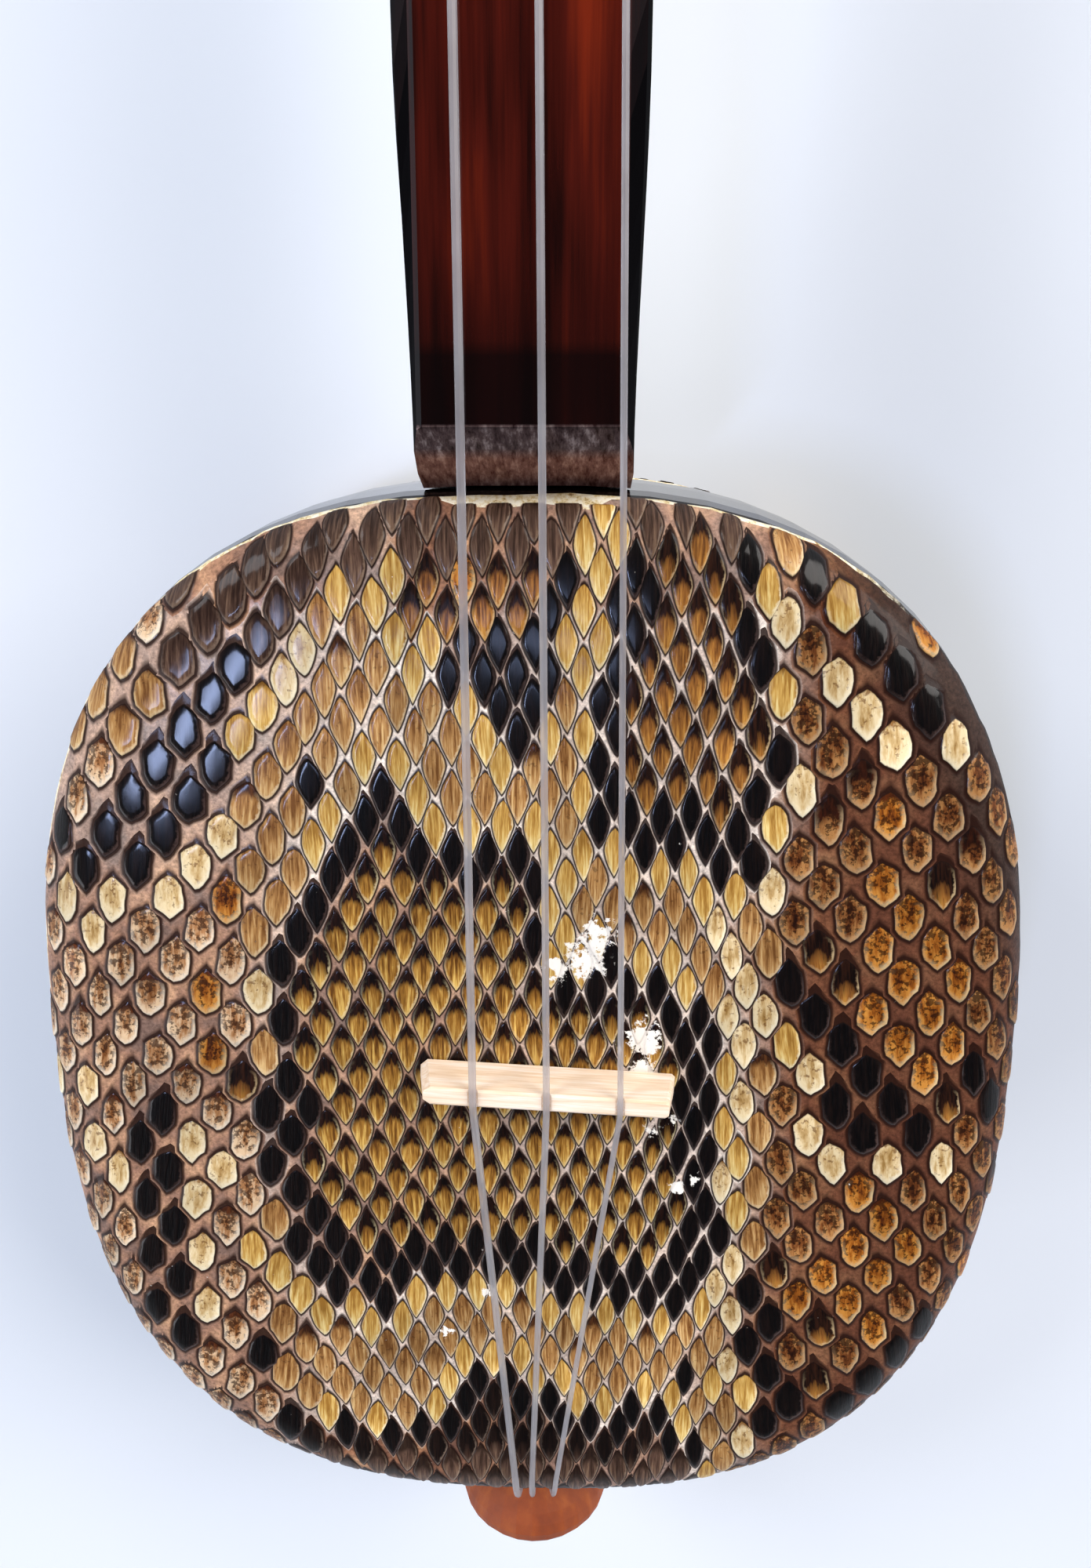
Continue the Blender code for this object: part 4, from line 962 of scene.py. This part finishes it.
def pale_skin(x, y):
    """How pale the skin between the scales is: palest round the gold scales."""
    name, depth = saddle_at(x, y)
    if depth > 0:
        pale = 0.16 + 0.42 * soft_step((x + 18) / 32) + 0.25 * max(0.0, 1 - depth / 5)
    else:
        # Towards the upper left the net is paler: partly its own tone, partly a painted sheen.
        pale_and_painted_sheen_high_left = soft_step((y - 20) / 30) if x < 0 else 0.0
        pale = (0.12 + 0.16 * pale_and_painted_sheen_high_left if x < 0 else 0.02)
        pale += (0.66 - 0.46 * soft_step(-depth / 14)) * (1 - flankness(x * MM))
    # Near the neck (y above 78) the net is darkened as painted shade of the neck; deep in the tail saddle it is
    # darker too.
    if y > 78 or name == "tail" and depth > 3:
        pale *= 0.3
    return min(1.0, pale)


def build_sheet(front):
    """Vertices, faces and pale values of the bare skin."""
    rings = sheet_rings(front)
    points = np.concatenate(rings)
    faces = [tuple(range(SHEET_POINTS))]
    kinds = [0]
    for k in range(len(rings) - 1):
        for i in range(SHEET_POINTS):
            j = (i + 1) % SHEET_POINTS
            base = k * SHEET_POINTS
            faces.append((base + i, base + SHEET_POINTS + i, base + SHEET_POINTS + j, base + j))
            kinds.append(1 if k >= len(rings) - 3 else 0)
    side = 1 if front else -1
    pale = [pale_skin(side * p[0] / MM, side * p[1] / MM) for p in points]
    return points, faces, kinds, pale


sheet = build_sheet(True)
print("bare skin: %d points" % len(sheet[0]))

# %% Shape one scale
SCALE_SIDES = 24
SCALE_RINGS = ((1.0, 0.15), (0.95, 0.62), (0.86, 0.92), (0.6, 0.985))
SKIRT_LIFT = 0.02 * MM
SKIRT_SPINE = 0.36 * MM
SKIRT_FLANK = 0.75 * MM
HEXAGON_SHARE = 0.7
WIDTH_SHARE_SPINE = 0.68
WIDTH_SHARE_FLANK = 0.52
LENGTH_SHARE_SPINE = 0.45
LENGTH_SHARE_FLANK = 0.435


def between(spine, flank, x):
    """A value that changes from the spine's to the flank's with the place across."""
    return spine + (flank - spine) * flankness(x)


def scale_leaf(x, dice):
    """The outline of one scale, as points about its middle: a pointed arch on the spine, blunt on the flank."""
    angle = 2 * math.pi * np.arange(SCALE_SIDES) / SCALE_SIDES
    c = np.cos(angle)
    s = np.sin(angle)
    across_power = between(1.15, 1.95, x)
    along_power = np.where(s > 0, between(1.75, 1.5, x), between(1.4, 1.5, x))
    leaf_x = np.copysign(np.abs(c) ** (2 / across_power), c)
    leaf_y = np.copysign(np.abs(s) ** (2 / along_power), s) * np.where(s > 0, 0.95, 1.05)
    hexagon = np.cos((angle + math.pi / 6) % (math.pi / 3) - math.pi / 6)
    blend = HEXAGON_SHARE * flankness(x)
    leaf_x = leaf_x * (1 - blend) + blend * c / hexagon
    leaf_y = leaf_y * (1 - blend) + blend * s / hexagon * math.cos(math.pi / 6)
    wobble = 1 + sum(
        between(0.02, 0.035, x) * np.sin(waves * angle + dice.uniform(0, 6)) for waves in (2, 3, 5)
    )
    half_width = column_step(x) * between(WIDTH_SHARE_SPINE, WIDTH_SHARE_FLANK, x) * dice.uniform(0.94, 1.06)
    half_length = ROW_PITCH * between(LENGTH_SHARE_SPINE, LENGTH_SHARE_FLANK, x) * dice.uniform(0.95, 1.05)
    return leaf_x * wobble, leaf_y * wobble, half_width, half_length


def scale_patch(u, v, turn, cap, front, dice):
    """Points, map places, edge values and painted skin shade of one raised scale and the skirt of skin round it."""
    leaf_x, leaf_y, half_width, half_length = scale_leaf(u, dice)
    skirt = between(SKIRT_SPINE, SKIRT_FLANK, u)
    across = np.concatenate([leaf_x * ring for ring, _ in SCALE_RINGS] + [[0.0]])
    along = np.concatenate([leaf_y * ring for ring, _ in SCALE_RINGS] + [[0.0]])
    rise = np.concatenate([np.full(SCALE_SIDES, height) for _, height in SCALE_RINGS] + [[1.0]])
    edge = np.concatenate([np.ones(SCALE_SIDES)] + [np.full(SCALE_SIDES, ring) for ring, _ in SCALE_RINGS] + [[0.0]])
    lift = rise * SCALE_RELIEF * (0.62 - 0.38 * along)
    place_x = np.concatenate([leaf_x * (half_width + skirt), across * half_width])
    tip = np.maximum(leaf_y, 0.0) ** 4
    place_y = np.concatenate([leaf_y * (half_length + (1.4 + 1.2 * tip) * skirt), along * half_length])
    lift = np.concatenate([np.full(SCALE_SIDES, SKIRT_LIFT), lift])
    across = np.concatenate([leaf_x, across])
    along = np.concatenate([leaf_y, along])
    # The skirt carries painted shade: full at the scale's edge, none at the skirt's outer ring, except above the tip
    # of a capped scale.
    shade = np.zeros(len(edge))
    shade[:SCALE_SIDES] = min(1.0, max(0.0, cap)) * np.maximum(leaf_y, 0.0) ** 3
    shade[SCALE_SIDES:2 * SCALE_SIDES] = 1.0
    map_u = u + place_x * math.cos(turn) - place_y * math.sin(turn)
    map_v = v + place_x * math.sin(turn) + place_y * math.cos(turn)
    limit = lap_at(np.array([v]), front)[0] - raw_width(np.array([u]), np.array([v]))[0] - 0.2 * MM
    inset = flat_inset(map_u, map_v)
    past = np.maximum(LAND_INSET - inset - limit, 0.0)
    shrink_u = (DRUM_WIDTH / 2 - inset - past) / (DRUM_WIDTH / 2 - inset)
    shrink_v = (DRUM_LENGTH / 2 - inset - past) / (DRUM_LENGTH / 2 - inset)
    points = wrap(map_u * shrink_u, map_v * shrink_v, NET_LIFT + lift, front)
    return points, np.stack([across * 0.5 + 0.5, along * 0.5 + 0.5], axis=-1), edge, shade


def patch_faces(base):
    """Faces of one scale and its skirt, from the outer ring to the middle."""
    faces = []
    for ring in range(len(SCALE_RINGS)):
        for i in range(SCALE_SIDES):
            j = (i + 1) % SCALE_SIDES
            low = base + ring * SCALE_SIDES
            faces.append((low + i, low + j, low + SCALE_SIDES + j, low + SCALE_SIDES + i))
    last = base + len(SCALE_RINGS) * SCALE_SIDES
    middle = last + SCALE_SIDES
    for i in range(SCALE_SIDES):
        faces.append((last + i, last + (i + 1) % SCALE_SIDES, middle))
    return faces


print("points per scale:", SCALE_SIDES * (len(SCALE_RINGS) + 1) + 1)

# %% Lay the scales on the sheet


def lay_scales(front):
    """Places of all scales of one skin on the flat map, in metres."""
    places = []
    for number, x in columns.items():
        for row in range(-13, 13):
            u, v = scale_place(number, x, row)
            run = LAND_INSET - flat_inset(np.array([u]), np.array([v]))[0]
            if run < lap_at(np.array([v]), front)[0] - 1.2 * MM:
                places.append((u, v))
    return places


def choose_kinds(places, front, dice):
    """Kind and cap of every scale; the back has the front's pattern, mirrored and turned end for end."""
    side = 1 if front else -1
    spots = np.array(places) * side / MM
    kinds = [scale_kind(x, y, dice) for x, y in spots]
    for kind, marks in MARKED_SCALES.items():
        for mark_x, mark_y in marks:
            nearest = int(np.argmin(np.hypot(spots[:, 0] - mark_x, spots[:, 1] - mark_y)))
            kinds[nearest] = mark_kind(kind, dice)
    return kinds


def build_skin(name, front, seed):
    """The whole skin: bare sheet and scales in one mesh, with its materials and maps."""
    dice = random.Random(seed)
    sheet_points, faces, slots, pale = build_sheet(front)
    points = [sheet_points]
    count = len(sheet_points)
    maps = [np.zeros((count, 2))]
    edges = [np.zeros(count)]
    chances = [np.zeros((count, 4))]
    shades = [np.zeros(count)]
    pales = list(pale)
    side = 1 if front else -1
    kind_names = list(scale_materials)
    places = lay_scales(front)
    for (u, v), (kind, cap) in zip(places, choose_kinds(places, front, dice)):
        turn = dice.uniform(-0.06, 0.06) + 0.10 * flankness(u) * (1 if u > 0 else -1)
        u += dice.uniform(-0.2, 0.2) * MM
        v += dice.uniform(-0.25, 0.25) * MM
        patch, spots, edge, shade = scale_patch(u, v, turn, cap, front, dice)
        faces += patch_faces(count)
        slots += [0] * SCALE_SIDES + [2 + kind_names.index(kind)] * (SCALE_SIDES * len(SCALE_RINGS))
        points.append(patch)
        maps.append(spots)
        edges.append(edge)
        shades.append(shade)
        chance = (dice.random(), dice.random(), dice.random(), cap)
        chances.append(np.tile(chance, (len(patch), 1)))
        pales += [pale_skin(side * u / MM, side * v / MM)] * len(patch)
        count += len(patch)
    if not front:
        faces = [tuple(reversed(face)) for face in faces]
    points = np.concatenate(points)
    wear = wear_at(points[:, 0] / MM, points[:, 1] / MM) * front
    mesh = bpy.data.meshes.new(name)
    mesh.from_pydata(points.tolist(), [], faces)
    for material in [bare_skin, cut_edge] + list(scale_materials.values()):
        mesh.materials.append(material)
    mesh.polygons.foreach_set("material_index", slots)
    store_map(mesh, np.concatenate(maps))
    store_values(mesh, "scale_chance", "FLOAT_COLOR", "color", np.concatenate(chances))
    store_values(mesh, "scale_edge", "FLOAT", "value", np.concatenate(edges))
    store_values(mesh, "skin_shade", "FLOAT", "value", np.concatenate(shades))
    store_values(mesh, "skin_pale", "FLOAT", "value", np.array(pales))
    store_values(mesh, "skin_wear", "FLOAT", "value", wear)
    mesh.shade_smooth()
    skin = bpy.data.objects.new(name, mesh)
    bpy.context.scene.collection.objects.link(skin)
    print("%s: %d scales, %d faces" % (name, len(places), len(faces)))
    return skin


def store_map(mesh, places):
    """Keep each point's place on its scale as a flat map."""
    corner_points = np.zeros(len(mesh.loops), dtype=np.int32)
    mesh.loops.foreach_get("vertex_index", corner_points)
    layer = mesh.uv_layers.new(name="scale_map")
    layer.data.foreach_set("uv", places[corner_points].astype(np.float32).ravel())


def store_values(mesh, name, kind, field, values):
    """Keep one value or colour for each point of the mesh."""
    layer = mesh.attributes.new(name, kind, "POINT")
    layer.data.foreach_set(field, values.astype(np.float32).ravel())


front_skin = build_skin("python_skin_front", True, 11)
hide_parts("skin_front")
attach(front_skin, "root")

# %% [markdown]
# ## The back skin
#
# The back of the drum is covered with skin from the same python. It can't be seen in the photograph, so
# its pattern is the front's, mirrored across and turned end for end.

# %% Build the back skin
back_skin = build_skin("python_skin_back", False, 12)
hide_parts("skin_back")
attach(back_skin, "root")

# %% [markdown]
# ## The lacquered neck
#
# The neck is hardwood under clear and black lacquer. The fingerboard shows the red-brown wood through a
# deep gloss, darker towards the drum, and the sides are black. Where the neck meets the skin, a slanting facet was
# left rough, and its lacquer is worn off.

# %% Neck lacquer
NECK_START_Y = DRUM_LENGTH / 2
FACET_LENGTH = 7.5 * MM


def make_neck_lacquer():
    """Red-brown wood under gloss lacquer, black sides, and a worn slanting facet at the drum."""
    material, tree, shader = start_material(
        "urushi_lacquered_hardwood", IOR=1.5, Specular_IOR_Level=0.0, Coat_Roughness=0.06,
    )
    place = add_node(tree, "ShaderNodeTexCoord")
    stretch = add_node(
        tree, "ShaderNodeMapping",
        {"Vector": place.outputs["Object"], "Scale": (1 / (1.1 * MM), 1 / (38 * MM), 1 / (1.1 * MM))},
    )
    grain = add_node(
        tree, "ShaderNodeTexNoise",
        {"Vector": stretch.outputs["Vector"], "Scale": 1.0, "Detail": 4.0, "Roughness": 0.6},
    )
    drift = add_node(
        tree, "ShaderNodeMapping",
        {"Vector": place.outputs["Object"], "Scale": (1 / (11 * MM), 1 / (60 * MM), 1 / (11 * MM))},
    )
    cloud = add_node(
        tree, "ShaderNodeTexNoise", {"Vector": drift.outputs["Vector"], "Scale": 1.0, "Detail": 2.0},
    )
    mixed = add_node(
        tree, "ShaderNodeMath", {0: grain.outputs["Fac"], 1: 0.35, 2: cloud.outputs["Fac"]},
        operation="MULTIPLY_ADD",
    )
    colour = add_node(
        tree, "ShaderNodeValToRGB", {"Fac": mixed.outputs["Value"]},
        stops=[(0.5, "#1e0604"), (0.68, "#46120a"), (0.86, "#6c200d")],
    )
    split = add_node(tree, "ShaderNodeSeparateXYZ", {"Vector": place.outputs["Object"]})
    from_drum = add_node(
        tree, "ShaderNodeMapRange",
        {"Value": split.outputs["Y"], "From Min": NECK_START_Y, "From Max": NECK_START_Y + 50 * MM},
    )
    to_drum = add_node(
        tree, "ShaderNodeValToRGB", {"Fac": from_drum.outputs["Result"]},
        stops=[(0.34, "#f6f6f6"), (0.38, "#c8c8c8"), (0.6, "#808080"), (0.9, "#000000")],
    )
    darker = add_node(
        tree, "ShaderNodeMix",
        {0: to_drum.outputs["Color"], 6: colour.outputs["Color"], 7: "#080303"}, data_type="RGBA",
    )
    facing = add_node(tree, "ShaderNodeSeparateXYZ", {"Vector": place.outputs["Normal"]})
    side = add_node(
        tree, "ShaderNodeMapRange", {"Value": facing.outputs["Z"], "From Min": 0.82, "From Max": 0.6},
    )
    black_sides = add_node(
        tree, "ShaderNodeMix",
        {0: side.outputs["Result"], 6: darker.outputs[2], 7: "#040304"}, data_type="RGBA",
    )
    on_facet = add_node(
        tree, "ShaderNodeMapRange",
        {"Value": split.outputs["Y"], "From Min": NECK_START_Y + FACET_LENGTH + 0.4 * MM,
         "From Max": NECK_START_Y + FACET_LENGTH - 0.4 * MM},
    )
    facing_up = add_node(
        tree, "ShaderNodeMapRange", {"Value": facing.outputs["Z"], "From Min": 0.35, "From Max": 0.55},
    )
    facet = add_node(
        tree, "ShaderNodeMath", {0: on_facet.outputs["Result"], 1: facing_up.outputs["Result"]},
        operation="MULTIPLY",
    )
    scratch_way = add_node(
        tree, "ShaderNodeMapping",
        {"Vector": place.outputs["Object"], "Scale": (1 / (1.3 * MM), 1 / (5 * MM), 1 / (5 * MM))},
    )
    scratches = add_node(
        tree, "ShaderNodeTexNoise",
        {"Vector": scratch_way.outputs["Vector"], "Scale": 1.0, "Detail": 6.0, "Roughness": 0.7,
         "Distortion": 0.15},
    )
    upper_wear = add_node(
        tree, "ShaderNodeValToRGB", {"Fac": scratches.outputs["Fac"]},
        stops=[(0.36, "#342424"), (0.54, "#75605d"), (0.66, "#bca8a2")],
    )
    lower_wear = add_node(
        tree, "ShaderNodeValToRGB", {"Fac": scratches.outputs["Fac"]},
        stops=[(0.36, "#683a2c"), (0.52, "#aa7662"), (0.66, "#e6b092")],
    )
    low_part = add_node(
        tree, "ShaderNodeMapRange",
        {"Value": split.outputs["Y"], "From Min": NECK_START_Y + 4.5 * MM, "From Max": NECK_START_Y + 3 * MM},
    )
    worn_colour = add_node(
        tree, "ShaderNodeMix",
        {0: low_part.outputs["Result"], 6: upper_wear.outputs["Color"], 7: lower_wear.outputs["Color"]},
        data_type="RGBA",
    )
    finished = add_node(
        tree, "ShaderNodeMix",
        {0: facet.outputs["Value"], 6: black_sides.outputs[2], 7: worn_colour.outputs[2]},
        data_type="RGBA",
    )
    join(tree, finished.outputs[2], shader, "Base Color")
    rough = add_node(
        tree, "ShaderNodeMapRange", {"Value": facet.outputs["Value"], "To Min": 0.22, "To Max": 0.62},
    )
    join(tree, rough.outputs["Result"], shader, "Roughness")
    gloss_face = add_node(
        tree, "ShaderNodeMapRange", {"Value": side.outputs["Result"], "To Min": 0.7, "To Max": 0.02},
    )
    gloss = add_node(
        tree, "ShaderNodeMix",
        {0: facet.outputs["Value"], 2: gloss_face.outputs["Result"], 3: 0.1}, data_type="FLOAT",
    )
    join(tree, gloss.outputs[0], shader, "Coat Weight")
    deep = add_node(
        tree, "ShaderNodeMath", {0: scratches.outputs["Fac"], 1: facet.outputs["Value"]}, operation="MULTIPLY",
    )
    bump = add_node(
        tree, "ShaderNodeBump", {"Height": deep.outputs["Value"], "Strength": 0.8, "Distance": 0.35 * MM},
    )
    join(tree, bump.outputs["Normal"], shader, "Normal")
    return material


def dress(names, material):
    """Give nodes of the frame their finish."""
    for name in names:
        mesh = nodes[name].data
        mesh.materials.clear()
        mesh.materials.append(material)


dress(["neck"], make_neck_lacquer())
print("neck dressed")

# %% [markdown]
# ## Black lacquer, woods, bone and nylon
#
# The hoop is brushed with black lacquer, which leaves faint waves in the gloss. The bridge is pale planed
# wood, the knob orange-brown wood off the lathe with rings of grain, the pegs dark hardwood, and the nut bone.
# The strings are clear nylon, drawn through a die, so they are smooth and let some light through.

# %% Hoop lacquer


def make_black_lacquer():
    """Brushed black lacquer over wood, with faint waves and dust."""
    material, tree, shader = start_material(
        "black_urushi_lacquer", Roughness=0.24, IOR=1.5, Specular_IOR_Level=0.15, Coat_Weight=0.5,
        Coat_Roughness=0.08,
    )
    place = add_node(tree, "ShaderNodeTexCoord")
    wave = add_node(
        tree, "ShaderNodeTexNoise", {"Vector": place.outputs["Object"], "Scale": 1 / (9 * MM), "Detail": 3.0},
    )
    colour = add_node(
        tree, "ShaderNodeValToRGB", {"Fac": wave.outputs["Fac"]},
        stops=[(0.35, "#0b0807"), (0.6, "#17110f"), (0.75, "#2a1c15")],
    )
    join(tree, colour.outputs["Color"], shader, "Base Color")
    bump = add_node(
        tree, "ShaderNodeBump", {"Height": wave.outputs["Fac"], "Strength": 0.25, "Distance": 0.3 * MM},
    )
    join(tree, bump.outputs["Normal"], shader, "Normal")
    return material


dress(["hoop_neck_wall", "hoop_tail_wall", "hoop_left_wall", "hoop_right_wall"], make_black_lacquer())
print("hoop dressed")

# %% Woods and bone
BRIDGE_TURN = math.radians(-3.0)


def make_wood(name, stops, ring_size, along, roughness, coat, turn=0.0):
    """Fine-grained wood; ring_size is the spacing of the grain across, and along the length of its fibres."""
    material, tree, shader = start_material(
        name, Roughness=roughness, IOR=1.5, Coat_Weight=coat, Coat_Roughness=0.25,
    )
    place = add_node(tree, "ShaderNodeTexCoord")
    turned = add_node(
        tree, "ShaderNodeMapping", {"Vector": place.outputs["Object"], "Rotation": (0.0, 0.0, -turn)},
    )
    stretch = add_node(
        tree, "ShaderNodeMapping",
        {"Vector": turned.outputs["Vector"], "Scale": tuple(1 / size for size in along)},
    )
    fibre = add_node(
        tree, "ShaderNodeTexNoise",
        {"Vector": stretch.outputs["Vector"], "Scale": 1.0, "Detail": 5.0, "Roughness": 0.6},
    )
    bands = add_node(
        tree, "ShaderNodeTexNoise",
        {"Vector": stretch.outputs["Vector"], "Scale": 1 / ring_size, "Detail": 2.0, "Roughness": 0.5},
    )
    both = add_node(
        tree, "ShaderNodeMath", {0: bands.outputs["Fac"], 1: 0.6, 2: fibre.outputs["Fac"]},
        operation="MULTIPLY_ADD",
    )
    colour = add_node(tree, "ShaderNodeValToRGB", {"Fac": both.outputs["Value"]}, stops=stops)
    join(tree, colour.outputs["Color"], shader, "Base Color")
    bump = add_node(
        tree, "ShaderNodeBump", {"Height": fibre.outputs["Fac"], "Strength": 0.3, "Distance": 0.15 * MM},
    )
    join(tree, bump.outputs["Normal"], shader, "Normal")
    return material


bridge_wood = make_wood(
    "planed_pale_maple", [(0.55, "#e6c49e"), (0.8, "#f6dcc0"), (1.0, "#fdeede")], 3.0,
    (9 * MM, 0.5 * MM, 0.5 * MM), 0.55, 0.0, BRIDGE_TURN,
)
knob_wood = make_wood(
    "turned_orange_brown_wood", [(0.5, "#742e09"), (0.8, "#8e3e0b"), (1.1, "#a45012")], 4.0,
    (5 * MM, 14 * MM, 3 * MM), 0.7, 0.0,
)
peg_wood = make_wood(
    "dark_kuroki_peg_wood", [(0.55, "#120a07"), (0.8, "#24130c"), (1.05, "#3d2216")], 4.0,
    (14 * MM, 0.7 * MM, 0.7 * MM), 0.5, 0.0,
)
bone = make_wood(
    "polished_bone", [(0.6, "#cfc09a"), (0.8, "#e6dcc0"), (1.0, "#f2ecdc")], 3.0,
    (4 * MM, 0.8 * MM, 0.8 * MM), 0.35, 0.2,
)
dress(["bridge"], bridge_wood)
dress(["tail_knob"], knob_wood)
dress(["peg_1", "peg_2", "peg_3"], peg_wood)
dress(["nut"], bone)
print("bridge, knob, pegs and nut dressed")

# %% Nylon strings


def make_nylon():
    """Clear drawn nylon: smooth, milky and partly see-through."""
    material, tree, shader = start_material(
        "clear_nylon_string", Roughness=0.35, IOR=1.53, Transmission_Weight=0.6, Alpha=0.6,
    )
    place = add_node(tree, "ShaderNodeTexCoord")
    cloud = add_node(
        tree, "ShaderNodeTexNoise", {"Vector": place.outputs["Object"], "Scale": 1 / (12 * MM), "Detail": 2.0},
    )
    colour = add_node(
        tree, "ShaderNodeValToRGB", {"Fac": cloud.outputs["Fac"]},
        stops=[(0.35, "#b4aeb0"), (0.65, "#c6c2c4")],
    )
    join(tree, colour.outputs["Color"], shader, "Base Color")
    return material


nylon = make_nylon()
dress(["string_%d" % number for number in (1, 2, 3)], nylon)
dress(["peg_winding_%d" % number for number in (1, 2, 3)], nylon)
print("strings dressed")
